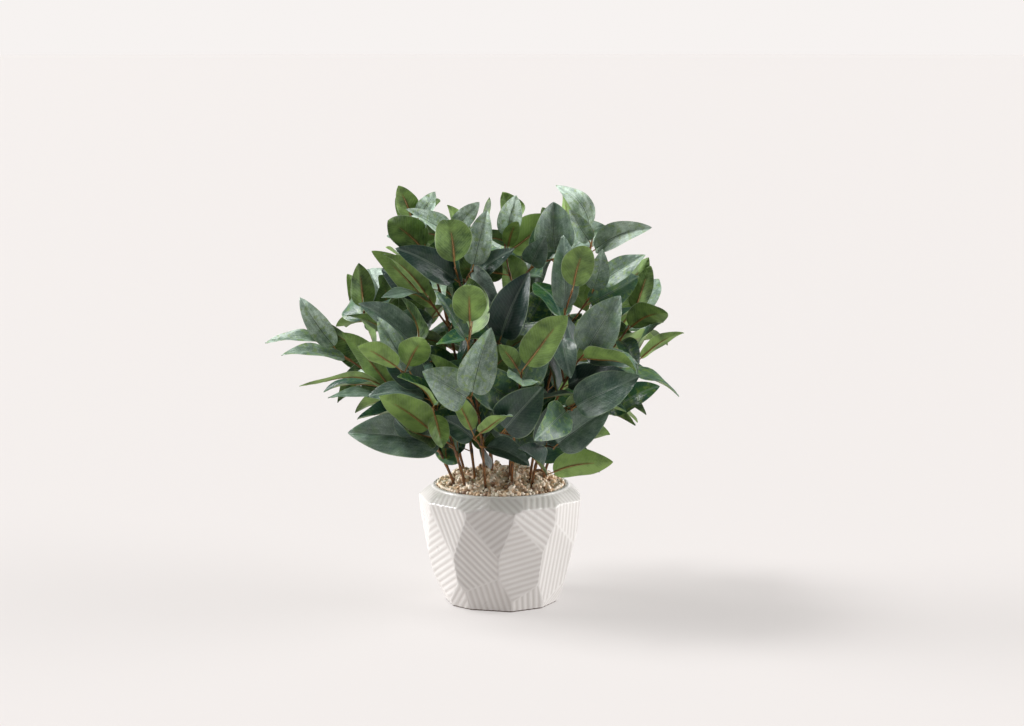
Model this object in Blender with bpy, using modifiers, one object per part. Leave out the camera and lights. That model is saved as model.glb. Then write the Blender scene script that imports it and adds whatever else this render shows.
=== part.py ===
"""Potted eucalyptus: a faceted ceramic pot, a foam block, a gravel bed, stems and leafy sprigs.

World frame in metres: +Z up, the front of the plant towards -Y, and the origin at the centre of
the pot's flat underside. Lengths in the tables are in millimetres. Every leaf is grown from its
twig: the tables give where it starts along the twig and where its tip lies, and it is then swung
a little, if it has to be, until it clears all the leaves, twigs and stems that are already there.
"""

import math
from dataclasses import dataclass, field

import bmesh
import bpy
import numpy as np
from mathutils import Matrix, Vector
from mathutils.bvhtree import BVHTree

MM = 0.001
GAP = 0.3 * MM  # clearance between pieces that touch

# Pot: rings of flat facets under a round lip, hollowed by a turned cavity. A ring has its tilt from
# the upright in degrees, a height, and each facet's azimuth and its radius at that height.
POT_HEIGHT = 112
LIP_RADIUS = 62.5
LIP_SLOPE = 1.444  # run over fall of the cone that rounds the lip
LIP_SIDES = 64
SHOULDER = (45, 112, [(a, 63.5) for a in (-75, -42, -21, 4, 29, 62, 95, 126, 158, 190, 221, 253)])
MIDDLE = (-5, 88, [(a, 73.2) for a in (-75, -41, -8, 27, 57, 90, 122, 155, 188, 220, 252)])
LOWER_FRONT = (-14, 57, [(a, 67.6) for a in (-57, -20, 17, 50)])
LOWER_BACK = (-14, 57, [(a, 68.8) for a in (88, 124, 160, 196, 232, 266)])
FOOT = (
    (-27, 0, [(-41, 49.3), (-13, 46.1), (27, 48.6), (60, 50.5), (95, 51.0)]),
    (-27, 0, [(a, 50.0) for a in (128, 162, 196, 228, 258, 286)]),
)
NECK_RADIUS = 60
CAVITY = ((46.5, 9), (60.5, 57), (67, 86), (67, 97), (NECK_RADIUS, 106), (NECK_RADIUS, 116))
CAVITY_FLOOR = (44.5, 7)

# Filling
FOAM_BOTTOM_RADIUS = 43.5 * MM
FOAM_TOP_RADIUS = 59.0 * MM
FOAM_TOP = 96 * MM
FILL_SIDES = 40
GRAVEL_RADIUS = NECK_RADIUS - 0.3
GRAVEL_MOUND = ((GRAVEL_RADIUS, 109.5), (46, 113), (25, 116.5), (0, 118))

# Stems: radius, the height of the gravel's top, and how deep they are pushed in
STEM_RADIUS = 1.3 * MM
TWIG_RADIUS = 0.95 * MM
ROOT_HEIGHT = 117
STEM_FOOT_HEIGHT = 71
STEM_LEAN = 0.6  # how much of the way to the tip the buried, straight run leans
HOLE_SIDES = 8

# The canopy's tables were drawn for a slightly wider and taller plant
CANOPY = np.array((0.96, 1.0, 0.96)) * MM

# Leaves
LEAF_THICKNESS = 0.8 * MM
LEAF_CLEARANCE = 0.45 * MM
PETIOLE_HALF_WIDTH = 0.55 * MM
PETIOLE_LENGTH = 7 * MM
CHOSEN_STATIONS = (0.17, 0.47, 0.8)
GROWN_STATIONS = (0.25, 0.67)
SWELL = 0.47  # powers of the blade's outline, from the petiole and from the tip
TAPER = 0.85
ROUND_TAPER = 0.58
FOLD = 0.22  # rise of the blade's edge over its half width
ARCH = 0.09  # rise of the leaf's curve over its length
LOWEST_TIP = 126 * MM  # no leaf hangs over the pot's side
HIGHEST_GROWN = 396  # no grown leaf stands higher than the chosen ones at the top
STEM_LOW = 0.08  # where the grown leaves start on a stem, and on a twig
TWIG_LOW = 0.26
GOLDEN = 0.618034
TOP = 1
UNDER = -1
UP = np.array((0.0, 0.0, 1.0))
FRONT = np.array((0.0, -1.0, 0.0))


@dataclass
class Stem:
    """A stem from its place in the gravel to its tip, and how many leaves grow on it."""

    root: tuple
    tip: tuple
    extra: int = 9


@dataclass
class Leaf:
    """A leaf: its start along the twig, its tip, its width, the side turned to the front, and
    by how many degrees that side leans up."""

    along: float
    tip: tuple
    width: float
    side: int = TOP
    lean: float = 20
    arch: float = ARCH
    round: bool = False
    front: tuple = (0.0, -1.0, 0.0)
    stations: tuple = CHOSEN_STATIONS


@dataclass
class Sprig:
    """A twig that starts on a stem, its chosen leaves, and how many more grow by the rule."""

    name: str
    stem: int
    along: float
    end: tuple
    extra: int = 0
    leaves: list = field(default_factory=list)


STEMS = (
    Stem((-44, -20), (-128, -32, 232)),
    Stem((-33, -33), (-76, -76, 228)),
    Stem((-24, -6), (-64, -24, 330)),
    Stem((-14, -38), (-28, -92, 250)),
    Stem((-8, 8), (-40, -8, 338)),
    Stem((10, -34), (18, -100, 228)),
    Stem((8, -10), (22, -32, 318)),
    Stem((29, -30), (68, -84, 244)),
    Stem((27, -8), (80, -28, 330)),
    Stem((40, 2), (112, -20, 258)),
    Stem((-34, 20), (-100, 62, 250)),
    Stem((-8, 34), (-32, 102, 285)),
    Stem((18, 28), (52, 88, 300)),
    Stem((38, 24), (102, 62, 240)),
)

SPRIGS = (
    Sprig("sprig_far_left", 0, 1.0, (-172, -16, 258), 1, [
        Leaf(1.0, (-227, -14, 258), 17, TOP, 60),
        Leaf(0.6, (-191, -24, 302), 21, TOP, 20),
        Leaf(0.3, (-208, -42, 255), 23, TOP, 65),
    ]),
    Sprig("sprig_left_low", 0, 0.5, (-106, -58, 222), 1, [
        Leaf(1.0, (-191, -52, 225), 20, UNDER, 65),
        Leaf(0.8, (-150, -66, 270), 27, UNDER, 20),
        Leaf(0.45, (-155, -84, 228), 23, TOP, 65),
    ]),
    Sprig("sprig_left_high", 0, 0.85, (-131, -20, 288), 3, [
        Leaf(1.0, (-135, -18, 334), 23, UNDER, 10),
    ]),
    Sprig("sprig_front_left", 1, 1.0, (-92, -93, 242), 1, [
        Leaf(1.0, (-130, -108, 268), 25, UNDER, 40),
        Leaf(0.8, (-69, -110, 277), 29, UNDER, 15),
        Leaf(0.35, (-122, -82, 286), 21, TOP, 30),
    ]),
    Sprig("sprig_front_left_inner", 1, 0.7, (-63, -92, 208), 2, [
        Leaf(1.0, (-53, -106, 172), 19, UNDER, 10),
    ]),
    Sprig("sprig_front_left_low", 1, 0.35, (-62, -86, 182), 1, [
        Leaf(1.0, (-112, -97, 221), 34, UNDER, 25),
        Leaf(0.3, (-144, -68, 180), 43, TOP, 25),
    ]),
    Sprig("sprig_left_middle", 2, 0.5, (-88, -52, 262), 2, [
        Leaf(1.0, (-145, -48, 288), 25, UNDER, 50),
        Leaf(0.8, (-137, -66, 303), 30, TOP, 20),
    ]),
    Sprig("sprig_left_upper", 2, 0.72, (-68, -52, 306), 2, [
        Leaf(1.0, (-109, -50, 346), 22, UNDER, 40),
        Leaf(0.5, (-124, -50, 343), 27, UNDER, 30),
    ]),
    Sprig("sprig_top_left", 2, 1.0, (-84, -12, 374), 1, [
        Leaf(1.0, (-97, -12, 408), 21, UNDER, 10),
        Leaf(0.9, (-68, 2, 404), 16, TOP, 20),
        Leaf(0.25, (-106, -42, 378), 32, UNDER, 10),
        Leaf(0.4, (-117, -6, 350), 16, TOP, 50),
    ]),
    Sprig("sprig_front_centre_high", 3, 1.0, (-27, -110, 286), 1, [
        Leaf(1.0, (-28, -118, 326), 31, UNDER, 5, 0.05, True),
        Leaf(0.5, (-60, -98, 318), 15, TOP, 60),
    ]),
    Sprig("sprig_front_centre", 3, 0.55, (-27, -116, 222), 1, [
        Leaf(1.0, (-8, -130, 288), 33, TOP, 5),
        Leaf(0.85, (-70, -130, 248), 36, TOP, 15),
        Leaf(0.6, (-65, -98, 260), 17, UNDER, 30),
    ]),
    Sprig("sprig_front_centre_low", 3, 0.28, (-24, -97, 181), 0, [
        Leaf(1.0, (-38, -114, 226), 18, UNDER, 40),
        Leaf(0.9, (12, -120, 204), 19, UNDER, 60),
        Leaf(0.55, (-52, -92, 198), 23, TOP, 20),
        Leaf(0.25, (28, -80, 151), 22, TOP, 45),
    ]),
    Sprig("sprig_top_centre_left", 4, 1.0, (-50, -10, 362), 2, [
        Leaf(1.0, (-20, -14, 392), 19, TOP, 30),
        Leaf(0.7, (-88, -42, 388), 21, TOP, 35),
    ]),
    Sprig("sprig_upper_left_front", 4, 0.72, (-42, -74, 336), 1, [
        Leaf(1.0, (-48, -86, 381), 34, UNDER, 5, 0.05, True),
        Leaf(0.7, (-97, -72, 354), 29, TOP, 25),
    ]),
    Sprig("sprig_upper_centre_left", 4, 0.86, (-26, -48, 330), 1, [
        Leaf(1.0, (-12, -50, 388), 25, TOP, 10),
        Leaf(0.4, (4, -74, 354), 23, TOP, 25),
    ]),
    Sprig("sprig_front_right_inner", 5, 1.0, (20, -120, 248), 1, [
        Leaf(1.0, (61, -126, 298), 33, UNDER, 15),
        Leaf(0.2, (27, -148, 255), 30, UNDER, 0, 0.05, True),
        Leaf(0.7, (-1, -120, 272), 16, UNDER, 20),
    ]),
    Sprig("sprig_front_low", 5, 0.45, (0, -92, 184), 2, [
        Leaf(1.0, (31, -106, 236), 40, TOP, 15),
    ]),
    Sprig("sprig_centre", 6, 0.55, (-2, -80, 268), 3, [
        Leaf(1.0, (27, -90, 334), 34, TOP, 15),
    ]),
    Sprig("sprig_top_centre", 6, 0.9, (4, -24, 356), 2, [
        Leaf(1.0, (15, -14, 399), 22, TOP, 15),
        Leaf(0.8, (16, -46, 376), 15, UNDER, 20),
    ]),
    Sprig("sprig_top_centre_right", 6, 1.0, (56, -32, 340), 3, [
        Leaf(1.0, (50, -30, 394), 37, TOP, 5),
        Leaf(0.3, (42, -52, 363), 23, TOP, 20),
    ]),
    Sprig("sprig_front_right_base", 7, 0.1, (44, -64, 137), 1, [
        Leaf(1.0, (107, -73, 154), 28, UNDER, 15),
    ]),
    Sprig("sprig_front_right_low", 7, 0.28, (50, -85, 168), 0, [
        Leaf(1.0, (102, -99, 209), 37, TOP, 20),
        Leaf(0.4, (54, -84, 219), 26, TOP, 0),
    ]),
    Sprig("sprig_front_right", 7, 0.6, (66, -106, 208), 2, [
        Leaf(1.0, (127, -119, 243), 38, TOP, 30),
    ]),
    Sprig("sprig_right_front_high", 7, 0.85, (66, -102, 318), 1, [
        Leaf(1.0, (78, -108, 360), 29, UNDER, 5, 0.05, True),
        Leaf(0.7, (58, -82, 368), 25, TOP, 5),
        Leaf(0.5, (64, -120, 245), 22, TOP, 20),
    ]),
    Sprig("sprig_right_front", 7, 1.0, (77, -96, 258), 1, [
        Leaf(1.0, (110, -105, 314), 38, TOP, 10),
        Leaf(0.5, (129, -77, 248), 25, TOP, 50),
    ]),
    Sprig("sprig_right_upper", 8, 0.7, (90, -62, 318), 1, [
        Leaf(1.0, (135, -67, 348), 23, TOP, 30),
        Leaf(0.85, (95, -78, 358), 21, TOP, 10),
        Leaf(0.55, (108, -62, 334), 17, UNDER, 30),
    ]),
    Sprig("sprig_top_right", 8, 1.0, (88, -22, 366), 1, [
        Leaf(1.0, (51, -22, 410), 20, TOP, 10, 0.32),
        Leaf(0.6, (64, -48, 388), 17, TOP, 20),
        Leaf(0.4, (142, -45, 371), 23, TOP, 25),
    ]),
    Sprig("sprig_right_low", 9, 0.4, (98, -66, 196), 1, [
        Leaf(1.0, (149, -75, 225), 27, TOP, 40),
        Leaf(0.5, (122, -86, 198), 27, UNDER, 30),
    ]),
    Sprig("sprig_right_middle", 9, 0.75, (131, -34, 240), 2, [
        Leaf(1.0, (174, -36, 270), 18, UNDER, 50),
    ]),
    Sprig("sprig_right_high", 9, 1.0, (128, -22, 286), 0, [
        Leaf(1.0, (143, -22, 332), 21, UNDER, 20),
        Leaf(0.75, (154, 20, 315), 21, TOP, 30),
        Leaf(0.4, (157, -64, 294), 30, UNDER, 30),
        Leaf(0.1, (127, -74, 237), 19, TOP, 30),
    ]),
    Sprig("sprig_back_left_high", 10, 0.75, (-84, 96, 302), 6),
    Sprig("sprig_back_left_side", 10, 0.6, (-118, 26, 232), 5),
    Sprig("sprig_back_left", 10, 1.0, (-118, 84, 272), 6),
    Sprig("sprig_back_left_low", 10, 0.4, (-98, 78, 190), 6),
    Sprig("sprig_back_top_left", 11, 0.75, (-58, 44, 350), 6),
    Sprig("sprig_back_centre", 11, 1.0, (-40, 124, 322), 6),
    Sprig("sprig_back_centre_low", 11, 0.5, (-24, 120, 220), 6),
    Sprig("sprig_back_top", 12, 0.75, (12, 42, 364), 6),
    Sprig("sprig_back_top_right", 12, 1.0, (62, 96, 340), 6),
    Sprig("sprig_back_right_low", 12, 0.5, (48, 122, 236), 6),
    Sprig("sprig_right_back_high", 13, 0.75, (100, 30, 290), 6),
    Sprig("sprig_right_back", 13, 1.0, (120, 80, 262), 6),
    Sprig("sprig_right_back_low", 13, 0.45, (104, 84, 188), 6),
)

# How far a leaf may be swung, lifted and rolled, in degrees, and shortened, to find room
SWINGS = (0, 9, -9, 18, -18, 30, -30)
LIFTS = (0, 9, -9, 18, -18, 30, -30)
ROLLS = (0, 30, -30)
SIZES = (1.0, 0.84)
TWIG_SHIFTS = (0, 6, -6, 12, -12)


# Layout: curves, leaf outlines and the search for room


def unit(vector):
    """The vector at length one."""
    return vector / np.linalg.norm(vector)


def bend(start, control, end, count):
    """Points on the quadratic curve from start to end, count spans long."""
    t = np.linspace(0, 1, count + 1)[:, None]
    return (1 - t) ** 2 * start + 2 * t * (1 - t) * control + t**2 * end


def point_on(path, along):
    """The point and the direction at a share of a path's length."""
    spans = np.linalg.norm(np.diff(path, axis=0), axis=1)
    reach = along * spans.sum()
    for i, span in enumerate(spans):
        if reach <= span or i == len(spans) - 1:
            direction = unit(path[i + 1] - path[i])
            return path[i] + direction * min(reach, span), direction
        reach -= span


def turned(vector, axis, degrees):
    """The vector turned about an axis of length one."""
    angle = math.radians(degrees)
    across = np.cross(axis, vector)
    along = axis * np.dot(axis, vector)
    return vector * math.cos(angle) + across * math.sin(angle) + along * (1 - math.cos(angle))


def frame_of(direction):
    """Two directions of length one square to a direction."""
    side = unit(np.cross(direction, FRONT if abs(direction[1]) < 0.9 else UP))
    return side, np.cross(direction, side)


def stem_lines(stem):
    """The direction of the buried run, and the path above the gravel."""
    root = np.array((*stem.root, ROOT_HEIGHT)) * MM
    tip = np.array(stem.tip) * CANOPY
    reach = np.linalg.norm(tip - root)
    away = (tip - root) * (1, 1, 0) / reach
    rise = unit(away * STEM_LEAN + UP)
    return rise, bend(root, root + rise * reach * 0.55, tip, 8)


def tube_shell(path, radius, sides=6):
    """A closed tube along a path, as points and faces."""
    points = []
    for i, centre in enumerate(path):
        ahead = path[min(i + 1, len(path) - 1)]
        behind = path[max(i - 1, 0)]
        across, over = frame_of(unit(ahead - behind))
        for k in range(sides):
            angle = math.tau * k / sides
            points.append(centre + (across * math.cos(angle) + over * math.sin(angle)) * radius)
    faces = [tuple(range(sides))]
    for i in range(len(path) - 1):
        for k in range(sides):
            n = (k + 1) % sides
            faces.append((i * sides + k, i * sides + n, (i + 1) * sides + n, (i + 1) * sides + k))
    faces.append(tuple(range(len(points) - sides, len(points))))
    return np.array(points), faces


def blade_half_width(q, width, is_round):
    """The half width at a share q of the blade: q to one power times 1 - q to another."""
    taper = ROUND_TAPER if is_round else TAPER
    peak = SWELL / (SWELL + taper)
    shape = q**SWELL * (1 - q) ** taper
    return width / 2 * shape / (peak**SWELL * (1 - peak) ** taper)


@dataclass
class Placed:
    """A leaf in its final place: the curve from twig to tip, and the blade's normal."""

    start: np.ndarray
    tip: np.ndarray
    normal: np.ndarray
    width: float
    arch: float
    is_round: bool
    stations: tuple

    def at(self, t):
        """The point, tangent, side and normal at a share t of the leaf's length."""
        length = np.linalg.norm(self.tip - self.start)
        middle = (self.start + self.tip) / 2 + self.normal * self.arch * length * 2
        point = (1 - t) ** 2 * self.start + 2 * t * (1 - t) * middle + t * t * self.tip
        tangent = unit((1 - t) * (middle - self.start) + t * (self.tip - middle))
        side = unit(np.cross(self.normal, tangent))
        return point, tangent, side, np.cross(tangent, side)

    def strip(self, margin=0.0):
        """The leaf as an open strip: a narrow petiole, then rows of three points to the tip."""
        petiole = min(0.3, PETIOLE_LENGTH / np.linalg.norm(self.tip - self.start))
        points = []
        normals = []
        for t in (0.0, petiole):
            point, _, side, normal = self.at(t)
            half = PETIOLE_HALF_WIDTH + margin
            points += [point - side * half, point + side * half]
            normals += [normal, normal]
        for q in self.stations:
            point, _, side, normal = self.at(petiole + (1 - petiole) * q)
            half = blade_half_width(q, self.width, self.is_round) + margin
            edge = normal * half * FOLD
            points += [point - side * half + edge, point, point + side * half + edge]
            normals += [normal] * 3
        point, tangent, _, normal = self.at(1.0)
        points.append(point + tangent * margin)
        normals.append(normal)
        faces = [(0, 1, 3, 2), (2, 5, 4), (2, 3, 5), (3, 6, 5)]
        last = len(points) - 4
        for a in range(4, last, 3):
            faces += [(a, a + 1, a + 4, a + 3), (a + 1, a + 2, a + 5, a + 4)]
        faces += [(last, last + 1, last + 3), (last + 1, last + 2, last + 3)]
        return np.array(points), faces, np.array(normals)

    def shell(self, thickness, margin, blade_only=False):
        """The leaf with a thickness, as points and faces, for the search for room."""
        points, faces, normals = self.strip(margin)
        tip = len(points) - 1
        left = list(range(4, tip, 3))
        right = list(range(6, tip, 3))
        rim = [0, 2, *left, tip, *reversed(right), 3, 1]
        if blade_only:
            faces = faces[1:]
            rim = rim[1:-1]
        count = len(points)
        both = np.concatenate((points + normals * thickness / 2, points - normals * thickness / 2))
        walls = [
            (a, b, b + count, a + count) for a, b in zip(rim, rim[1:] + rim[:1], strict=True)
        ]
        return both, faces + [tuple(i + count for i in face) for face in faces] + walls


class Room:
    """What has been laid out so far, and whether something new is clear of it."""

    def __init__(self):
        self.pieces = []

    def add(self, owner, shell):
        """Keep a shell, under its owner's name."""
        points, faces = shell
        tree = BVHTree.FromPolygons(points.tolist(), faces)
        self.pieces.append((owner, points.min(axis=0), points.max(axis=0), tree))

    def is_clear(self, shell, skip=()):
        """Whether a shell crosses nothing, apart from what the skipped owners hold."""
        points, faces = shell
        low = points.min(axis=0)
        high = points.max(axis=0)
        tree = BVHTree.FromPolygons(points.tolist(), faces)
        for owner, other_low, other_high, other in self.pieces:
            if owner in skip or (low > other_high).any() or (high < other_low).any():
                continue
            if tree.overlap(other):
                return False
        return True


def twig_path(sprig, stem_path, shift):
    """The twig from 0.3 mm off its stem to its end, its curve moved sideways by a shift."""
    centre, rise = point_on(stem_path, sprig.along)
    end = np.array(sprig.end) * CANOPY
    toward = end - centre
    across = toward - rise * np.dot(toward, rise)
    across = unit(across) if np.linalg.norm(across) > 1 * MM else frame_of(rise)[0]
    length = np.linalg.norm(toward)
    side, over = frame_of(unit(toward))
    sideways = side * shift[0] * MM + over * shift[1] * MM
    if sprig.along == 1.0:
        control = centre + rise * length * 0.45 + sideways
        first = unit(control - centre)
        sine = np.linalg.norm(np.cross(first, rise))
        start = centre + rise * (GAP + TWIG_RADIUS * sine)
    else:
        control = centre + unit(rise * 0.7 + across * 0.7) * length * 0.45 + sideways
        first = unit(control - centre)
        start = centre + across * (STEM_RADIUS + GAP * 1.3 + TWIG_RADIUS * abs(first @ rise))
    return bend(start, control, end, 6 if length > 60 * MM else 4)


def leaf_choices(leaf, path):
    """The leaf as the table has it, then swung, lifted, rolled and shortened versions of it."""
    start, twig = point_on(path, leaf.along)
    if leaf.along == 1.0:
        start = start - twig * 3 * MM
    reach = np.array(leaf.tip) * CANOPY - start
    lean = math.radians(leaf.lean)
    hint = np.array(leaf.front) * leaf.side * math.cos(lean) + UP * math.sin(lean)
    turns = [(s, t, r) for s in SWINGS for t in LIFTS for r in ROLLS]
    turns.sort(key=lambda turn: abs(turn[0]) + abs(turn[1]) + abs(turn[2]) * 0.6)
    for size in SIZES:
        for swing, lift, roll in turns:
            axis = unit(reach)
            normal = unit(hint - axis * np.dot(hint, axis))
            side = np.cross(normal, axis)
            way = turned(turned(reach, normal, swing), side, -lift) * size
            normal = turned(hint, axis, roll)
            normal = unit(normal - unit(way) * np.dot(normal, unit(way)))
            width = leaf.width * MM * size
            yield Placed(start, start + way, normal, width, leaf.arch, leaf.round, leaf.stations)


def grown_leaves(index, count, path, has_tip, behind, low):
    """The leaves that grow by the rule: round the twig by the golden angle, splayed from it."""
    leaves = []
    for i in range(count):
        share = (i + 1) / count
        along = 1.0 if share == 1 and not has_tip else low + (0.94 - low) * (share - 0.5 / count)
        start, twig = point_on(path, along)
        across, over = frame_of(twig)
        turn = math.tau * GOLDEN * (i + index * 0.4)
        away = across * math.cos(turn) + over * math.sin(turn)
        if behind and away[1] < 0.1:
            away = away * (1, -1, 1)
        vary = (GOLDEN * (index * 7 + i * 3)) % 1
        splay = math.radians(20 if along == 1.0 else 46 + 22 * vary)
        length = 54 + 16 * ((GOLDEN * (index * 3 + i * 5)) % 1)
        outward = unit(start * (1, 1, 0))
        way = unit(twig * math.cos(splay) + away * math.sin(splay) + outward * 0.2)
        tip = start / CANOPY + way * length
        tip[2] = min(tip[2], HIGHEST_GROWN)
        side = TOP if vary < 0.7 else UNDER
        width = length * (0.46 + 0.12 * vary)
        lean = 20 + 45 * ((GOLDEN * (index + i * 4)) % 1)
        front = tuple(outward)
        leaf = Leaf(along, tuple(tip), width, side, lean, front=front, stations=GROWN_STATIONS)
        leaves.append(leaf)
    return leaves


def placed_leaf(room, owner, leaf, path):
    """The first version of a leaf that is clear of everything, or None."""
    thickness = LEAF_THICKNESS + 2 * LEAF_CLEARANCE
    for choice in leaf_choices(leaf, path):
        if choice.tip[2] < LOWEST_TIP:
            continue
        whole = choice.shell(thickness, LEAF_CLEARANCE)
        blade = choice.shell(thickness, LEAF_CLEARANCE, True)
        if room.is_clear(whole, (owner,)) and room.is_clear(blade):
            room.add(f"{owner} blade", choice.shell(LEAF_THICKNESS, 0.0))
            return choice
    return None


def clear_twig(room, sprig, stem_path):
    """The first version of a twig's curve that is clear of everything but its stem."""
    shifts = [(a, b) for a in TWIG_SHIFTS for b in TWIG_SHIFTS]
    for shift in sorted(shifts, key=lambda pair: abs(pair[0]) + abs(pair[1])):
        path = twig_path(sprig, stem_path, shift)
        shell = tube_shell(path, TWIG_RADIUS + LEAF_CLEARANCE)
        if room.is_clear(shell, (stem_name(sprig.stem),)):
            break
    return path


def stem_name(index):
    """The name of a stem's object."""
    return f"stem_{index + 1:02}"


def lay_out():
    """Place the stems, the twigs, the chosen leaves and then the grown ones, each in its room."""
    room = Room()
    stems = [stem_lines(stem) for stem in STEMS]
    for i, (_, path) in enumerate(stems):
        room.add(stem_name(i), tube_shell(path, STEM_RADIUS))
    twigs = []
    for sprig in SPRIGS:
        path = clear_twig(room, sprig, stems[sprig.stem][1])
        room.add(sprig.name, tube_shell(path, TWIG_RADIUS))
        twigs.append(path)
    leaves = {}
    for sprig, path in zip(SPRIGS, twigs, strict=True):
        leaves[sprig.name] = [placed_leaf(room, sprig.name, leaf, path) for leaf in sprig.leaves]
    for i, (stem, (_, path)) in enumerate(zip(STEMS, stems, strict=True)):
        grown = grown_leaves(i, stem.extra, path, True, stem.tip[1] < 0, STEM_LOW)
        leaves[stem_name(i)] = [placed_leaf(room, stem_name(i), leaf, path) for leaf in grown]
    for i, (sprig, path) in enumerate(zip(SPRIGS, twigs, strict=True)):
        chosen = bool(sprig.leaves)
        grown = grown_leaves(i, sprig.extra, path, chosen, chosen, TWIG_LOW)
        leaves[sprig.name] += [placed_leaf(room, sprig.name, leaf, path) for leaf in grown]
    return stems, twigs, {name: [leaf for leaf in found if leaf] for name, found in leaves.items()}


# Blender objects


def clear_scene():
    """Remove whatever is in the open file's scene."""
    for thing in list(bpy.data.objects):
        bpy.data.objects.remove(thing, do_unlink=True)


def collection(name):
    """A new collection in the scene."""
    group = bpy.data.collections.new(name)
    bpy.context.scene.collection.children.link(group)
    return group


def material(name, colour, roughness, metallic=0.0):
    """A plain Principled material."""
    made = bpy.data.materials.new(name)
    made.use_nodes = True
    shader = made.node_tree.nodes["Principled BSDF"]
    shader.inputs["Base Color"].default_value = (*colour, 1.0)
    shader.inputs["Roughness"].default_value = roughness
    shader.inputs["Metallic"].default_value = metallic
    return made


def add_object(name, data, group, parent, finish=None):
    """Put mesh or curve data in the scene as a named object."""
    thing = bpy.data.objects.new(name, data)
    group.objects.link(thing)
    thing.parent = parent
    if finish:
        data.materials.append(finish)
    return thing


def make_cutter(thing):
    """Show an object as a wire guide that the model leaves out."""
    thing.hide_render = True
    thing.display_type = "WIRE"
    return thing


def join_by(thing, name, operation, other):
    """Give an object a Boolean with another."""
    change = thing.modifiers.new(name, "BOOLEAN")
    change.operation = operation
    change.solver = "EXACT"
    change.object = other


def facet_planes():
    """The outward normal and distance of each flat facet of the pot."""
    for tilt, height, facets in (SHOULDER, MIDDLE, LOWER_FRONT, LOWER_BACK, *FOOT):
        flat = math.cos(math.radians(tilt))
        rise = math.sin(math.radians(tilt))
        for azimuth, radius in facets:
            turn = math.radians(azimuth)
            normal = Vector((flat * math.sin(turn), -flat * math.cos(turn), rise))
            yield normal, (flat * radius + rise * height) * MM


def make_pot(parts, cutters, parent):
    """A round-lipped cone cut flat along every facet, then hollowed."""
    shape = bmesh.new()
    bmesh.ops.create_cone(
        shape,
        cap_ends=True,
        segments=LIP_SIDES,
        radius1=(LIP_RADIUS + LIP_SLOPE * POT_HEIGHT) * MM,
        radius2=LIP_RADIUS * MM,
        depth=POT_HEIGHT * MM,
        matrix=Matrix.Translation((0, 0, POT_HEIGHT / 2 * MM)),
    )
    for normal, distance in facet_planes():
        everything = shape.verts[:] + shape.edges[:] + shape.faces[:]
        cut = bmesh.ops.bisect_plane(
            shape, geom=everything, plane_co=normal * distance, plane_no=normal, clear_outer=True
        )
        edges = [e for e in cut["geom_cut"] if isinstance(e, bmesh.types.BMEdge)]
        bmesh.ops.contextual_create(shape, geom=edges)
    mesh = bpy.data.meshes.new("pot")
    shape.to_mesh(mesh)
    shape.free()
    pot = add_object("pot", mesh, parts, parent, material("ivory glaze", (0.8, 0.78, 0.74), 0.25))
    outline = [(0, CAVITY[-1][1]), *reversed(CAVITY), CAVITY_FLOOR, (0, CAVITY_FLOOR[1])]
    cavity = turned_solid("pot_cavity", outline, cutters, parent)
    join_by(pot, "hollow", "DIFFERENCE", make_cutter(cavity))


def turned_solid(name, outline, group, parent, finish=None):
    """An outline of radii and heights, top to bottom, turned about the axis."""
    mesh = bpy.data.meshes.new(name)
    points = [(radius * MM, 0, height * MM) for radius, height in outline]
    mesh.from_pydata(points, [(i, i + 1) for i in range(len(points) - 1)], [])
    solid = add_object(name, mesh, group, parent, finish)
    screw = solid.modifiers.new("turn", "SCREW")
    screw.steps = FILL_SIDES
    screw.render_steps = FILL_SIDES
    screw.use_merge_vertices = True
    screw.merge_threshold = 0.00001
    return solid


def make_filling(parts, cutters, parent, stems):
    """The foam block and the gravel bed on it, with a hole round each stem."""
    shape = bmesh.new()
    bottom = (CAVITY_FLOOR[1] * MM) + GAP
    depth = FOAM_TOP - bottom
    bmesh.ops.create_cone(
        shape,
        cap_ends=True,
        segments=FILL_SIDES,
        radius1=FOAM_BOTTOM_RADIUS,
        radius2=FOAM_TOP_RADIUS,
        depth=depth,
        matrix=Matrix.Translation((0, 0, bottom + depth / 2)),
    )
    mesh = bpy.data.meshes.new("foam_block")
    shape.to_mesh(mesh)
    shape.free()
    foam_look = material("grey foam", (0.25, 0.26, 0.24), 0.9)
    foam = add_object("foam_block", mesh, parts, parent, foam_look)
    seat = FOAM_TOP / MM + 0.3
    outline = [*reversed(GRAVEL_MOUND), (GRAVEL_RADIUS, seat), (0, seat)]
    gravel_look = material("tan gravel", (0.45, 0.35, 0.25), 0.8)
    gravel = turned_solid("gravel_bed", outline, parts, parent, gravel_look)
    holes = bmesh.new()
    for rise, path in stems:
        low = path[0] - rise * ((ROOT_HEIGHT - STEM_FOOT_HEIGHT) * MM / rise[2] + GAP)
        high = path[0] + rise * 8 * MM
        length = float(np.linalg.norm(high - low))
        aim = Vector(rise).to_track_quat("Z", "Y").to_matrix().to_4x4()
        radius = (STEM_RADIUS + GAP) / math.cos(math.pi / HOLE_SIDES)
        bmesh.ops.create_cone(
            holes,
            cap_ends=True,
            segments=HOLE_SIDES,
            radius1=radius,
            radius2=radius,
            depth=length,
            matrix=Matrix.Translation((low + high) / 2) @ aim,
        )
    mesh = bpy.data.meshes.new("stem_holes")
    holes.to_mesh(mesh)
    holes.free()
    drill = make_cutter(add_object("stem_holes", mesh, cutters, parent))
    join_by(foam, "holes", "DIFFERENCE", drill)
    join_by(gravel, "holes", "DIFFERENCE", drill)


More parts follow.
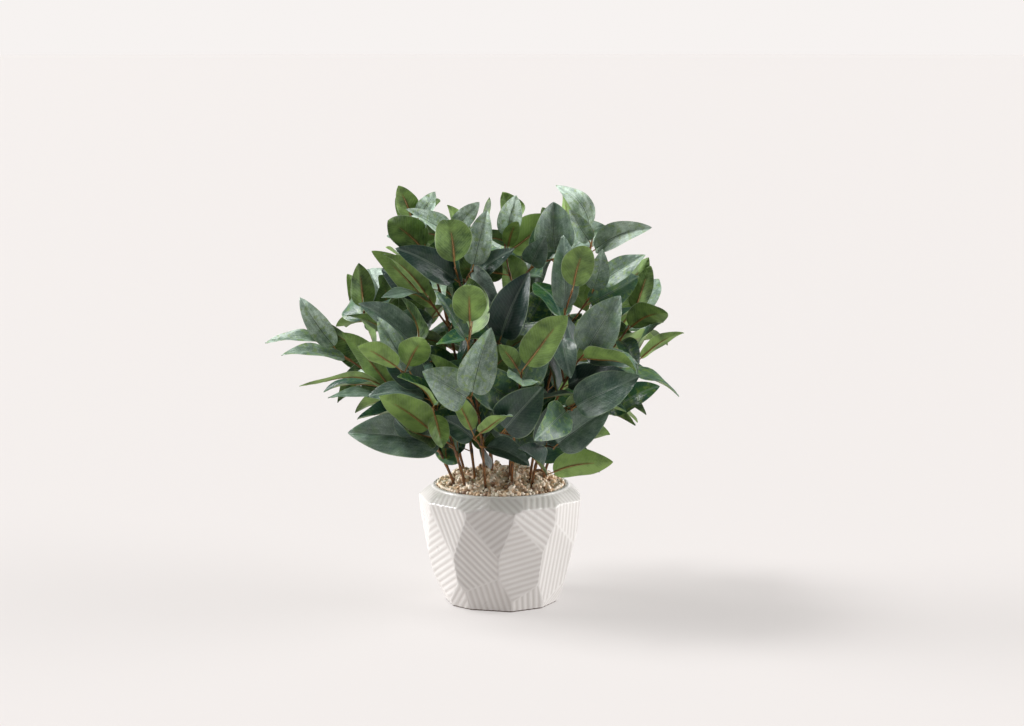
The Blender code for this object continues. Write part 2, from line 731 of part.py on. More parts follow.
def tube(name, path, radius, resolution, group, parent, finish):
    """A curve with a round section and filled ends."""
    curve = bpy.data.curves.new(name, "CURVE")
    curve.dimensions = "3D"
    curve.bevel_depth = radius
    curve.bevel_resolution = resolution
    curve.use_fill_caps = True
    line = curve.splines.new("POLY")
    line.points.add(len(path) - 1)
    for point, place in zip(line.points, path, strict=True):
        point.co = (*place, 1.0)
    return add_object(name, curve, group, parent, finish)


def add_leafy(name, path, radius, resolution, leaves, parts, cutters, parent, finish):
    """A tube made a mesh, and its leaves as one thick sheet joined to it."""
    curve = tube(name, path, radius, resolution, cutters, parent, None)
    view = bpy.context.evaluated_depsgraph_get()
    mesh = bpy.data.meshes.new_from_object(curve.evaluated_get(view))
    world = curve.matrix_world.copy()
    bpy.data.objects.remove(curve, do_unlink=True)
    shape = bmesh.new()
    shape.from_mesh(mesh)
    bmesh.ops.remove_doubles(shape, verts=shape.verts, dist=0.00001)
    shape.to_mesh(mesh)
    shape.free()
    twig = add_object(name, mesh, parts, parent, finish)
    twig.matrix_world = world
    points = []
    faces = []
    for leaf in leaves:
        rows, quads, _ = leaf.strip()
        faces += [tuple(i + len(points) for i in quad) for quad in quads]
        points += rows.tolist()
    sheet = bpy.data.meshes.new(f"{name}_leaves")
    sheet.from_pydata(points, [], faces)
    blades = make_cutter(add_object(f"{name}_leaves", sheet, cutters, parent))
    thick = blades.modifiers.new("thickness", "SOLIDIFY")
    thick.thickness = LEAF_THICKNESS
    thick.offset = 0.0
    join_by(twig, "leaves", "UNION", blades)


def make_plant(parts, cutters, parent, stems, twigs, leaves):
    """The stems, each from its foot in the foam to its tip, and the sprigs."""
    bark = material("brown bark", (0.22, 0.09, 0.04), 0.5)
    green = material("leaf green", (0.12, 0.2, 0.12), 0.5)
    for i, (rise, path) in enumerate(stems):
        foot = path[0] - rise * ((ROOT_HEIGHT - STEM_FOOT_HEIGHT) * MM / rise[2])
        line = [foot, *path]
        name = stem_name(i)
        add_leafy(name, line, STEM_RADIUS, 1, leaves[name], parts, cutters, parent, bark)
    for sprig, path in zip(SPRIGS, twigs, strict=True):
        found = leaves[sprig.name]
        add_leafy(sprig.name, path, TWIG_RADIUS, 0, found, parts, cutters, parent, green)


def main():
    """Build the potted eucalyptus."""
    clear_scene()
    parts = collection("potted_eucalyptus")
    cutters = collection("cutters")
    plant = bpy.data.objects.new("potted_eucalyptus_frame", None)
    parts.objects.link(plant)
    stems, twigs, leaves = lay_out()
    make_pot(parts, cutters, plant)
    make_filling(parts, cutters, plant, stems)
    make_plant(parts, cutters, plant, stems, twigs, leaves)
    print("leaves", sum(len(found) for found in leaves.values()))


main()
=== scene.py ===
"""Looks of the potted eucalyptus: fluted glazed pot, gravel, coated stems and cloth leaves.

World frame in metres: +Z up, the front of the plant towards -Y, and the origin at the centre of
the pot's flat underside. The growth tables are in millimetres and are laid out by the same rule
as the solids, so that every leaf lies where its solid does; a check against the frame says so.
"""

from __future__ import annotations

import logging
import math
from collections.abc import Iterator
from dataclasses import dataclass, field
from enum import Enum

import bmesh
import bpy
import numpy as np
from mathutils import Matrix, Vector
from mathutils.bvhtree import BVHTree

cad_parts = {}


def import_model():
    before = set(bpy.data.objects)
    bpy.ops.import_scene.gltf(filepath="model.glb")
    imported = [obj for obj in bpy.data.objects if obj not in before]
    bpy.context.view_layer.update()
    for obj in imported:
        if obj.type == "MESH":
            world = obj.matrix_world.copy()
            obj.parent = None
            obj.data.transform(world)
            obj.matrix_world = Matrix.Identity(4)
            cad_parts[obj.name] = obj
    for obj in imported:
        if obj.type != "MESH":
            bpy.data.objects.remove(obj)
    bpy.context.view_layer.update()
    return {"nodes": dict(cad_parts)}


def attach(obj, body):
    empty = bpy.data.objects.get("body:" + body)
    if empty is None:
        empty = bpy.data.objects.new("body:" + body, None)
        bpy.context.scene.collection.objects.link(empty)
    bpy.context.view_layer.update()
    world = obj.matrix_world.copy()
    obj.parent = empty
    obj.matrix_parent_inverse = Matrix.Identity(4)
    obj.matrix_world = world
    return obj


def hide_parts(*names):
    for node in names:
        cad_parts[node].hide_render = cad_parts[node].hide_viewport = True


Array = np.ndarray
Socket = bpy.types.NodeSocket
Given = Socket | float | str | tuple[float, ...]
Shell = tuple[Array, list[tuple[int, ...]]]

LOG = logging.getLogger("potted_eucalyptus")
MM = 0.001
BODY = "root"
GOLDEN = 0.618034
# The space between a twig and the stem that it is plugged on to.
GAP = 0.3 * MM
UP = np.array((0.0, 0.0, 1.0))
FRONT = np.array((0.0, -1.0, 0.0))
SMOOTH = {"interpolation_type": "SMOOTHSTEP"}
BLEND = {"data_type": "RGBA", "output": 2}
TIMES = {"operation": "MULTIPLY"}
SCALED = {"operation": "MULTIPLY_ADD"}
# A side vein runs this many millimetres along the leaf for each millimetre across it.
VEIN_SLOPE = 0.95


class Side(Enum):
    """The side of a leaf that is turned to the front."""

    TOP = 1
    UNDER = -1


class Slot(Enum):
    """The record's material slots, handed to the new pieces but not read."""

    GLAZE = "glaze"
    GRAVEL = "gravel"
    BARK = "bark"
    LEAF = "leaf"


class Stream(Enum):
    """The start of each piece's own stream of random numbers."""

    PEBBLES = 11
    LEAVES = 23


TOP = Side.TOP
UNDER = Side.UNDER


# Growth: where each stem, twig and leaf lies


def unit(vectors: Array) -> Array:
    """The vector, or each of the vectors, at length one."""
    return vectors / np.linalg.norm(vectors, axis=-1, keepdims=True)


def bend(start: Array, control: Array, end: Array, count: int) -> Array:
    """Count + 1 points (1 - t)^2 start + 2 t (1 - t) control + t^2 end, at even steps of t."""
    t = np.linspace(0, 1, count + 1)[:, None]
    return (1 - t) ** 2 * start + 2 * t * (1 - t) * control + t**2 * end


def point_on(path: Array, along: float) -> tuple[Array, Array]:
    """The point and the direction at a share of a path's length.

    Args:
        path: The path's points.
        along: The share, from 0 to 1.

    Returns:
        The point, and the direction there at length one.
    """
    spans = np.linalg.norm(np.diff(path, axis=0), axis=1)
    reach = along * spans.sum()
    before = np.concatenate(((0.0,), np.cumsum(spans)[:-1]))
    i = int(np.searchsorted(before[1:], reach))
    direction = unit(path[i + 1] - path[i])
    return path[i] + direction * min(reach - before[i], spans[i]), direction


def turned(vector: Array, axis: Array, degrees: float) -> Array:
    """A vector turned about an axis of length one.

    Args:
        vector: What is turned.
        axis: What it is turned about.
        degrees: By how much.

    Returns:
        v cos a + (axis x v) sin a + axis (axis . v) (1 - cos a).
    """
    angle = math.radians(degrees)
    across = np.cross(axis, vector)
    along = axis * np.dot(axis, vector)
    return vector * math.cos(angle) + across * math.sin(angle) + along * (1 - math.cos(angle))


def golden_share(number: int) -> float:
    """A share from 0 to 1 for a whole number, by golden steps, which never bunch up."""
    return (GOLDEN * number) % 1


def frame_of(direction: Array) -> tuple[Array, Array]:
    """Two directions of length one that are square to a direction."""
    side = unit(np.cross(direction, FRONT if abs(direction[1]) < 0.9 else UP))
    return side, np.cross(direction, side)


@dataclass
class Stem:
    """A stem from its place in the gravel to its tip, and how many leaves grow on it."""

    root: tuple[float, float]
    tip: tuple[float, float, float]
    extra: int = 9


@dataclass
class Leaf:
    """A leaf: its start along the twig, its tip, its width, the side turned to the front, by how
    many degrees that side leans up, how its blade is made, how far the cloth hooks sideways, and
    how pale it is where that is chosen."""

    along: float
    tip: tuple[float, ...]
    width: float
    side: Side = TOP
    lean: float = 20
    arch: float = 0.09
    round: bool = False
    front: tuple[float, ...] = (0.0, -1.0, 0.0)
    stations: tuple[float, ...] = (0.17, 0.47, 0.8)
    hook: float = 0.0
    tint: float | None = None


@dataclass
class Sprig:
    """A twig that starts on a stem, its chosen leaves, and how many more grow by the rule."""

    name: str
    stem: int
    along: float
    end: tuple[float, float, float]
    extra: int = 0
    leaves: list[Leaf] = field(default_factory=list)


STEMS = (
    Stem((-44, -20), (-128, -32, 232)),
    Stem((-33, -33), (-76, -76, 228)),
    Stem((-24, -6), (-64, -24, 330)),
    Stem((-14, -38), (-28, -92, 250)),
    Stem((-8, 8), (-40, -8, 338)),
    Stem((10, -34), (18, -100, 228)),
    Stem((8, -10), (22, -32, 318)),
    Stem((29, -30), (68, -84, 244)),
    Stem((27, -8), (80, -28, 330)),
    Stem((40, 2), (112, -20, 258)),
    Stem((-34, 20), (-100, 62, 250)),
    Stem((-8, 34), (-32, 102, 285)),
    Stem((18, 28), (52, 88, 300)),
    Stem((38, 24), (102, 62, 240)),
)

SPRIGS = (
    Sprig("sprig_far_left", 0, 1.0, (-172, -16, 258), 1, [
        Leaf(1.0, (-227, -14, 258), 17, TOP, 60, tint=0.75),
        Leaf(0.6, (-191, -24, 302), 21, TOP, 20, tint=0.9),
        Leaf(0.3, (-208, -42, 255), 23, TOP, 65, tint=0.65),
    ]),
    Sprig("sprig_left_low", 0, 0.5, (-106, -58, 222), 1, [
        Leaf(1.0, (-191, -52, 225), 20, UNDER, 65, tint=0.8),
        Leaf(0.8, (-150, -66, 270), 27, UNDER, 20, tint=0.7),
        Leaf(0.45, (-155, -84, 228), 23, TOP, 65, tint=0.45),
    ]),
    Sprig("sprig_left_high", 0, 0.85, (-131, -20, 288), 3, [
        Leaf(1.0, (-135, -18, 334), 23, UNDER, 10, tint=0.4),
    ]),
    Sprig("sprig_front_left", 1, 1.0, (-92, -93, 242), 1, [
        Leaf(1.0, (-130, -108, 268), 25, UNDER, 40, tint=0.85),
        Leaf(0.8, (-69, -110, 277), 29, UNDER, 15, tint=0.8),
        Leaf(0.35, (-122, -82, 286), 21, TOP, 30, tint=0.75),
    ]),
    Sprig("sprig_front_left_inner", 1, 0.7, (-63, -92, 208), 2, [
        Leaf(1.0, (-53, -106, 172), 19, UNDER, 10, tint=0.6),
    ]),
    Sprig("sprig_front_left_low", 1, 0.35, (-62, -86, 182), 1, [
        Leaf(1.0, (-112, -97, 221), 34, UNDER, 25, tint=0.9),
        Leaf(0.3, (-144, -68, 180), 43, TOP, 25, tint=0.46),
    ]),
    Sprig("sprig_left_middle", 2, 0.5, (-88, -52, 262), 2, [
        Leaf(1.0, (-145, -48, 288), 25, UNDER, 50, tint=0.3),
        Leaf(0.8, (-137, -66, 303), 30, TOP, 20, tint=0.4),
    ]),
    Sprig("sprig_left_upper", 2, 0.72, (-68, -52, 306), 2, [
        Leaf(1.0, (-109, -50, 346), 22, UNDER, 40, tint=0.6),
        Leaf(0.5, (-124, -50, 343), 27, UNDER, 30, tint=0.7),
    ]),
    Sprig("sprig_top_left", 2, 1.0, (-84, -12, 374), 1, [
        Leaf(1.0, (-97, -12, 408), 21, UNDER, 10, tint=0.6),
        Leaf(0.9, (-68, 2, 404), 16, TOP, 20, tint=0.95),
        Leaf(0.25, (-106, -42, 378), 32, UNDER, 10, tint=0.35),
        Leaf(0.4, (-117, -6, 350), 16, TOP, 50),
    ]),
    Sprig("sprig_front_centre_high", 3, 1.0, (-27, -110, 286), 1, [
        Leaf(1.0, (-28, -118, 326), 31, UNDER, 5, 0.05, True, tint=0.7),
        Leaf(0.5, (-60, -98, 318), 15, TOP, 60),
    ]),
    Sprig("sprig_front_centre", 3, 0.55, (-27, -116, 222), 1, [
        Leaf(1.0, (-8, -130, 288), 33, TOP, 5, tint=0.66),
        Leaf(0.85, (-70, -130, 248), 36, TOP, 15, tint=0.64),
        Leaf(0.6, (-65, -98, 260), 17, UNDER, 30),
    ]),
    Sprig("sprig_front_centre_low", 3, 0.28, (-24, -97, 181), 0, [
        Leaf(1.0, (-38, -114, 226), 18, UNDER, 40, tint=0.75),
        Leaf(0.9, (12, -120, 204), 19, UNDER, 60, tint=0.8),
        Leaf(0.55, (-52, -92, 198), 23, TOP, 20),
        Leaf(0.25, (28, -80, 151), 22, TOP, 45, tint=0.3),
    ]),
    Sprig("sprig_top_centre_left", 4, 1.0, (-50, -10, 362), 2, [
        Leaf(1.0, (-20, -14, 392), 19, TOP, 30, tint=0.95),
        Leaf(0.7, (-88, -42, 388), 21, TOP, 35, tint=0.85),
    ]),
    Sprig("sprig_upper_left_front", 4, 0.72, (-42, -74, 336), 1, [
        Leaf(1.0, (-48, -86, 381), 34, UNDER, 5, 0.05, True, tint=0.42),
        Leaf(0.7, (-97, -72, 354), 29, TOP, 25, tint=0.15),
    ]),
    Sprig("sprig_upper_centre_left", 4, 0.86, (-26, -48, 330), 1, [
        Leaf(1.0, (-12, -50, 388), 25, TOP, 10, tint=0.9),
        Leaf(0.4, (4, -74, 354), 23, TOP, 25, tint=0.2),
    ]),
    Sprig("sprig_front_right_inner", 5, 1.0, (20, -120, 248), 1, [
        Leaf(1.0, (61, -126, 298), 33, UNDER, 15, tint=0.65),
        Leaf(0.2, (27, -148, 255), 30, UNDER, 0, 0.05, True, tint=0.6),
        Leaf(0.7, (-1, -120, 272), 16, UNDER, 20),
    ]),
    Sprig("sprig_front_low", 5, 0.45, (0, -92, 184), 2, [
        Leaf(1.0, (31, -106, 236), 40, TOP, 15, tint=0.18),
    ]),
    Sprig("sprig_centre", 6, 0.55, (-2, -80, 268), 3, [
        Leaf(1.0, (27, -90, 334), 34, TOP, 15, tint=0.05),
    ]),
    Sprig("sprig_top_centre", 6, 0.9, (4, -24, 356), 2, [
        Leaf(1.0, (15, -14, 399), 22, TOP, 15, tint=0.95),
        Leaf(0.8, (16, -46, 376), 15, UNDER, 20, tint=0.75),
    ]),
    Sprig("sprig_top_centre_right", 6, 1.0, (56, -32, 340), 3, [
        Leaf(1.0, (50, -30, 394), 37, TOP, 5, tint=0.5),
        Leaf(0.3, (42, -52, 363), 23, TOP, 20, tint=0.4),
    ]),
    Sprig("sprig_front_right_base", 7, 0.1, (44, -64, 137), 1, [
        Leaf(1.0, (107, -73, 154), 28, UNDER, 15, tint=0.95),
    ]),
    Sprig("sprig_front_right_low", 7, 0.28, (50, -85, 168), 0, [
        Leaf(1.0, (102, -99, 209), 37, TOP, 20, tint=0.4),
        Leaf(0.4, (54, -84, 219), 26, TOP, 0, tint=0.2),
    ]),
    Sprig("sprig_front_right", 7, 0.6, (66, -106, 208), 2, [
        Leaf(1.0, (127, -119, 243), 38, TOP, 30, tint=0.36),
    ]),
    Sprig("sprig_right_front_high", 7, 0.85, (66, -102, 318), 1, [
        Leaf(1.0, (78, -108, 360), 29, UNDER, 5, 0.05, True, tint=0.55),
        Leaf(0.7, (58, -82, 368), 25, TOP, 5, tint=0.45),
        Leaf(0.5, (64, -120, 245), 22, TOP, 20),
    ]),
    Sprig("sprig_right_front", 7, 1.0, (77, -96, 258), 1, [
        Leaf(1.0, (110, -105, 314), 38, TOP, 10, tint=0.5),
        Leaf(0.5, (129, -77, 248), 25, TOP, 50),
    ]),
    Sprig("sprig_right_upper", 8, 0.7, (90, -62, 318), 1, [
        Leaf(1.0, (135, -67, 348), 23, TOP, 30, tint=0.6),
        Leaf(0.85, (95, -78, 358), 21, TOP, 10, tint=0.6),
        Leaf(0.55, (108, -62, 334), 17, UNDER, 30),
    ]),
    Sprig("sprig_top_right", 8, 1.0, (88, -22, 366), 1, [
        Leaf(1.0, (51, -22, 410), 20, TOP, 10, 0.32, hook=-3.5, tint=0.95),
        Leaf(0.6, (64, -48, 388), 17, TOP, 20, tint=0.7),
        Leaf(0.4, (142, -45, 371), 23, TOP, 25, hook=1.6, tint=0.95),
    ]),
    Sprig("sprig_right_low", 9, 0.4, (98, -66, 196), 1, [
        Leaf(1.0, (149, -75, 225), 27, TOP, 40),
        Leaf(0.5, (122, -86, 198), 27, UNDER, 30),
    ]),
    Sprig("sprig_right_middle", 9, 0.75, (131, -34, 240), 2, [
        Leaf(1.0, (174, -36, 270), 18, UNDER, 50, tint=0.75),
    ]),
    Sprig("sprig_right_high", 9, 1.0, (128, -22, 286), 0, [
        Leaf(1.0, (143, -22, 332), 21, UNDER, 20, tint=0.45),
        Leaf(0.75, (154, 20, 315), 21, TOP, 30, tint=0.7),
        Leaf(0.4, (157, -64, 294), 30, UNDER, 30, tint=0.4),
        Leaf(0.1, (127, -74, 237), 19, TOP, 30),
    ]),
    Sprig("sprig_back_left_high", 10, 0.75, (-84, 96, 302), 6),
    Sprig("sprig_back_left_side", 10, 0.6, (-118, 26, 232), 5),
    Sprig("sprig_back_left", 10, 1.0, (-118, 84, 272), 6),
    Sprig("sprig_back_left_low", 10, 0.4, (-98, 78, 190), 6),
    Sprig("sprig_back_top_left", 11, 0.75, (-58, 44, 350), 6),
    Sprig("sprig_back_centre", 11, 1.0, (-40, 124, 322), 6),
    Sprig("sprig_back_centre_low", 11, 0.5, (-24, 120, 220), 6),
    Sprig("sprig_back_top", 12, 0.75, (12, 42, 364), 6),
    Sprig("sprig_back_top_right", 12, 1.0, (62, 96, 340), 6),
    Sprig("sprig_back_right_low", 12, 0.5, (48, 122, 236), 6),
    Sprig("sprig_right_back_high", 13, 0.75, (100, 30, 290), 6),
    Sprig("sprig_right_back", 13, 1.0, (120, 80, 262), 6),
    Sprig("sprig_right_back_low", 13, 0.45, (104, 84, 188), 6),
)


def blade_half_width(q: Array | float, width: float, is_round: bool) -> Array | float:
    """The blade's outline.

    Args:
        q: The share of the blade's length, from the petiole at 0 to the tip at 1.
        width: The blade's full width.
        is_round: Whether the blade is a round one, with a blunt tip.

    Returns:
        The half width: q to one power times 1 - q to another, scaled to the width at its peak.
    """
    swell = 0.47
    taper = 0.58 if is_round else 0.85
    peak = swell / (swell + taper)
    shape = q**swell * (1 - q) ** taper
    return width / 2 * shape / (peak**swell * (1 - peak) ** taper)


@dataclass
class Placed:
    """A leaf in its final place: the curve from twig to tip, and the normal of its top side."""

    start: Array
    tip: Array
    normal: Array
    width: float
    arch: float
    is_round: bool
    stations: tuple[float, ...]
    hook: float
    tint: float | None

    FOLD = 0.22
    PETIOLE_HALF_WIDTH = 0.55 * MM
    PETIOLE_LENGTH = 7 * MM

    @property
    def length(self) -> float:
        """The straight distance from the twig to the tip."""
        return float(np.linalg.norm(self.tip - self.start))

    @property
    def petiole(self) -> float:
        """The petiole's share of the leaf."""
        return min(0.3, self.PETIOLE_LENGTH / self.length)

    def at(self, t: Array | float) -> tuple[Array, Array, Array, Array]:
        """The leaf's centre line and the directions along it.

        Args:
            t: One share of the leaf's length, or a column of shares.

        Returns:
            The point, tangent, side and normal at each share. The line is the quadratic curve
            that rises along the normal by the arch times the length.
        """
        middle = (self.start + self.tip) / 2 + self.normal * self.arch * self.length * 2
        point = (1 - t) ** 2 * self.start + 2 * t * (1 - t) * middle + t * t * self.tip
        tangent = unit((1 - t) * (middle - self.start) + t * (self.tip - middle))
        side = unit(np.cross(self.normal, tangent))
        return point, tangent, side, np.cross(tangent, side)

    def strip(self, margin: float = 0.0) -> tuple[Array, list[tuple[int, ...]], Array]:
        """The leaf as the solids have it: a petiole, then rows of three points to the tip.

        Args:
            margin: How much wider it is on each side.

        Returns:
            The points, the faces, and the normal at each point.
        """
        points = []
        normals = []
        for t in (0.0, self.petiole):
            point, _, side, normal = self.at(t)
            half = self.PETIOLE_HALF_WIDTH + margin
            points += [point - side * half, point + side * half]
            normals += [normal, normal]
        for q in self.stations:
            point, _, side, normal = self.at(self.petiole + (1 - self.petiole) * q)
            half = blade_half_width(q, self.width, self.is_round) + margin
            edge = normal * half * self.FOLD
            points += [point - side * half + edge, point, point + side * half + edge]
            normals += [normal] * 3
        point, tangent, _, normal = self.at(1.0)
        points.append(point + tangent * margin)
        normals.append(normal)
        faces = [(0, 1, 3, 2), (2, 5, 4), (2, 3, 5), (3, 6, 5)]
        last = len(points) - 4
        for a in range(4, last, 3):
            faces += [(a, a + 1, a + 4, a + 3), (a + 1, a + 2, a + 5, a + 4)]
        faces += [(last, last + 1, last + 3), (last + 1, last + 2, last + 3)]
        return np.array(points), faces, np.array(normals)

    def shell(self, thickness: float, margin: float, blade_only: bool = False) -> Shell:
        """The leaf with a thickness, for the search for room.

        Args:
            thickness: Of the blade.
            margin: How much wider it is on each side.
            blade_only: Whether to leave out the petiole.

        Returns:
            The points and the faces.
        """
        points, faces, normals = self.strip(margin)
        tip = len(points) - 1
        left = list(range(4, tip, 3))
        right = list(range(6, tip, 3))
        rim = [0, 2, *left, tip, *reversed(right), 3, 1]
        if blade_only:
            faces = faces[1:]
            rim = rim[1:-1]
        count = len(points)
        both = np.concatenate((points + normals * thickness / 2, points - normals * thickness / 2))
        walls = [
            (a, b, b + count, a + count) for a, b in zip(rim, rim[1:] + rim[:1], strict=True)
        ]
        return both, faces + [tuple(i + count for i in face) for face in faces] + walls


class Room:
    """What has been laid out so far, and whether something new is clear of it."""

    def __init__(self) -> None:
        """Start with nothing laid out."""
        self.pieces: list[tuple[str, Array, Array, BVHTree]] = []

    def add(self, owner: str, shell: Shell) -> None:
        """Keep a shell.

        Args:
            owner: Its owner's name.
            shell: The points and faces.
        """
        points, faces = shell
        tree = BVHTree.FromPolygons(points.tolist(), faces)
        self.pieces.append((owner, points.min(axis=0), points.max(axis=0), tree))

    def is_clear(self, shell: Shell, skip: tuple[str, ...] = ()) -> bool:
        """Whether a shell crosses nothing.

        Args:
            shell: The points and faces of what is new.
            skip: Owners whose pieces it may cross.

        Returns:
            True if it is clear.
        """
        points, faces = shell
        low = points.min(axis=0)
        high = points.max(axis=0)
        tree = BVHTree.FromPolygons(points.tolist(), faces)
        for owner, other_low, other_high, other in self.pieces:
            if owner in skip or (low > other_high).any() or (high < other_low).any():
                continue
            if tree.overlap(other):
                return False
        return True


@dataclass
class Growth:
    """The rule by which the plant is laid out, the same as the solids'."""

    canopy: Array = field(default_factory=lambda: np.array((0.96, 1.0, 0.96)) * MM)
    stem_radius: float = 1.3 * MM
    twig_radius: float = 0.95 * MM
    root_height: float = 117
    foot_height: float = 71
    stem_lean: float = 0.6
    stem_bend: float = 0.55
    twig_bend: float = 0.45
    twig_lean: float = 0.7
    long_twig: float = 60 * MM
    tip_overlap: float = 3 * MM
    leaf_thickness: float = 0.8 * MM
    clearance: float = 0.45 * MM
    lowest_tip: float = 126 * MM
    highest_grown: float = 396
    turns: tuple[float, ...] = (0, 9, -9, 18, -18, 30, -30)
    rolls: tuple[float, ...] = (0, 30, -30)
    roll_weight: float = 0.6
    sizes: tuple[float, ...] = (1.0, 0.84)
    shifts: tuple[float, ...] = (0, 6, -6, 12, -12)
    bare_stem: float = 0.08
    bare_twig: float = 0.26
    last_grown: float = 0.94
    tip_splay: float = 20
    splay: tuple[float, float] = (46, 22)
    outward: float = 0.2
    grown_length: tuple[float, float] = (54, 16)
    grown_width: tuple[float, float] = (0.46, 0.12)
    grown_lean: tuple[float, float] = (20, 45)
    grown_top: float = 0.7
    grown_stations: tuple[float, ...] = (0.25, 0.67)

    @staticmethod
    def stem_name(index: int) -> str:
        """The name of a stem."""
        return f"stem_{index + 1:02}"

    def stem_lines(self, stem: Stem) -> tuple[Array, Array]:
        """A stem's lines.

        Args:
            stem: Its row in the table.

        Returns:
            The direction of its buried run, and its path above the gravel.
        """
        root = np.array((*stem.root, self.root_height)) * MM
        tip = np.array(stem.tip) * self.canopy
        reach = np.linalg.norm(tip - root)
        away = (tip - root) * (1, 1, 0) / reach
        rise = unit(away * self.stem_lean + UP)
        return rise, bend(root, root + rise * reach * self.stem_bend, tip, 8)

    @staticmethod
    def tube_shell(path: Array, radius: float) -> Shell:
        """A closed six-sided tube along a path, for the search for room.

        Args:
            path: Its centre line.
            radius: Its radius.

        Returns:
            The points and the faces.
        """
        sides = 6
        points = []
        for i, centre in enumerate(path):
            ahead = path[min(i + 1, len(path) - 1)]
            behind = path[max(i - 1, 0)]
            across, over = frame_of(unit(ahead - behind))
            for k in range(sides):
                angle = math.tau * k / sides
                way = across * math.cos(angle) + over * math.sin(angle)
                points.append(centre + way * radius)
        faces = [tuple(range(sides))]
        for i in range(0, (len(path) - 1) * sides, sides):
            for k in range(sides):
                n = (k + 1) % sides
                faces.append((i + k, i + n, i + sides + n, i + sides + k))
        faces.append(tuple(range(len(points) - sides, len(points))))
        return np.array(points), faces

    def twig_path(self, sprig: Sprig, stem_path: Array, shift: tuple[float, float]) -> Array:
        """A twig from just off its stem to its end.

        Args:
            sprig: What the twig belongs to.
            stem_path: The path of the stem that it starts on.
            shift: How far its curve is moved sideways, in millimetres.

        Returns:
            The twig's path.
        """
        centre, rise = point_on(stem_path, sprig.along)
        end = np.array(sprig.end) * self.canopy
        toward = end - centre
        across = toward - rise * np.dot(toward, rise)
        across = unit(across) if np.linalg.norm(across) > 1 * MM else frame_of(rise)[0]
        length = np.linalg.norm(toward)
        side, over = frame_of(unit(toward))
        sideways = side * shift[0] * MM + over * shift[1] * MM
        if sprig.along == 1.0:
            control = centre + rise * length * self.twig_bend + sideways
            first = unit(control - centre)
            sine = np.linalg.norm(np.cross(first, rise))
            start = centre + rise * (GAP + self.twig_radius * sine)
        else:
            way = unit(rise * self.twig_lean + across * self.twig_lean)
            control = centre + way * length * self.twig_bend + sideways
            first = unit(control - centre)
            off = self.stem_radius + GAP * 1.3 + self.twig_radius * abs(first @ rise)
            start = centre + across * off
        return bend(start, control, end, 6 if length > self.long_twig else 4)

    def leaf_choices(self, leaf: Leaf, path: Array) -> Iterator[Placed]:
        """The leaf as the table has it, then swung, lifted, rolled and shortened versions.

        Args:
            leaf: The leaf.
            path: The twig that it grows on.

        Yields:
            Each version, the ones that are turned least first.
        """
        start, twig = point_on(path, leaf.along)
        if leaf.along == 1.0:
            start = start - twig * self.tip_overlap
        reach = np.array(leaf.tip) * self.canopy - start
        lean = math.radians(leaf.lean)
        hint = np.array(leaf.front) * leaf.side.value * math.cos(lean) + UP * math.sin(lean)
        turns = [(s, t, r) for s in self.turns for t in self.turns for r in self.rolls]
        turns.sort(key=lambda turn: abs(turn[0]) + abs(turn[1]) + abs(turn[2]) * self.roll_weight)
        for size in self.sizes:
            for swing, lift, roll in turns:
                axis = unit(reach)
                normal = unit(hint - axis * np.dot(hint, axis))
                side = np.cross(normal, axis)
                way = turned(turned(reach, normal, swing), side, -lift) * size
                normal = turned(hint, axis, roll)
                normal = unit(normal - unit(way) * np.dot(normal, unit(way)))
                width = leaf.width * MM * size
                tip = start + way
                shape = (width, leaf.arch, leaf.round, leaf.stations, leaf.hook, leaf.tint)
                yield Placed(start, tip, normal, *shape)

    def grown(
        self, index: int, count: int, path: Array, tipped: bool, behind: bool, low: float
    ) -> list[Leaf]:
        """The leaves that grow by the rule: round the twig by the golden angle, splayed from it.

        Args:
            index: The stem's or sprig's place in its table, which varies the leaves.
            count: How many leaves.
            path: The stem's or twig's path.
            tipped: Whether the end already has a leaf.
            behind: Whether they all grow towards the back.
            low: The share of the path's length at which they start.

        Returns:
            The leaves.
        """
        leaves = []
        for i in range(count):
            vary = golden_share(index * 7 + i * 3)
            longer = golden_share(index * 3 + i * 5)
            leaning = golden_share(index + i * 4)
            share = (i + 1) / count
            along = low + (self.last_grown - low) * (share - 0.5 / count)
            splay = self.splay[0] + self.splay[1] * vary
            if share == 1 and not tipped:
                along = 1.0
                splay = self.tip_splay
            splay = math.radians(splay)
            start, twig = point_on(path, along)
            across, over = frame_of(twig)
            turn = math.tau * GOLDEN * (i + index * 0.4)
            away = across * math.cos(turn) + over * math.sin(turn)
            if behind and away[1] < 0.1:
                away = away * (1, -1, 1)
            length = self.grown_length[0] + self.grown_length[1] * longer
            outward = unit(start * (1, 1, 0))
            way = twig * math.cos(splay) + away * math.sin(splay) + outward * self.outward
            tip = start / self.canopy + unit(way) * length
            tip[2] = min(tip[2], self.highest_grown)
            side = TOP if vary < self.grown_top else UNDER
            width = length * (self.grown_width[0] + self.grown_width[1] * vary)
            lean = self.grown_lean[0] + self.grown_lean[1] * leaning
            made = {"front": tuple(outward), "stations": self.grown_stations}
            leaves.append(Leaf(along, tuple(tip), width, side, lean, **made))
        return leaves

    def placed(self, room: Room, owner: str, leaf: Leaf, path: Array) -> Placed | None:
        """The first version of a leaf that is clear of everything, or None.

        Args:
            room: What has been laid out.
            owner: The name of the leaf's stem or sprig.
            leaf: The leaf.
            path: What it grows on.

        Returns:
            The leaf in its place.
        """
        thickness = self.leaf_thickness + 2 * self.clearance
        for choice in self.leaf_choices(leaf, path):
            if choice.tip[2] < self.lowest_tip:
                continue
            whole = choice.shell(thickness, self.clearance)
            blade = choice.shell(thickness, self.clearance, True)
            if room.is_clear(whole, (owner,)) and room.is_clear(blade):
                room.add(f"{owner} blade", choice.shell(self.leaf_thickness, 0.0))
                return choice
        return None

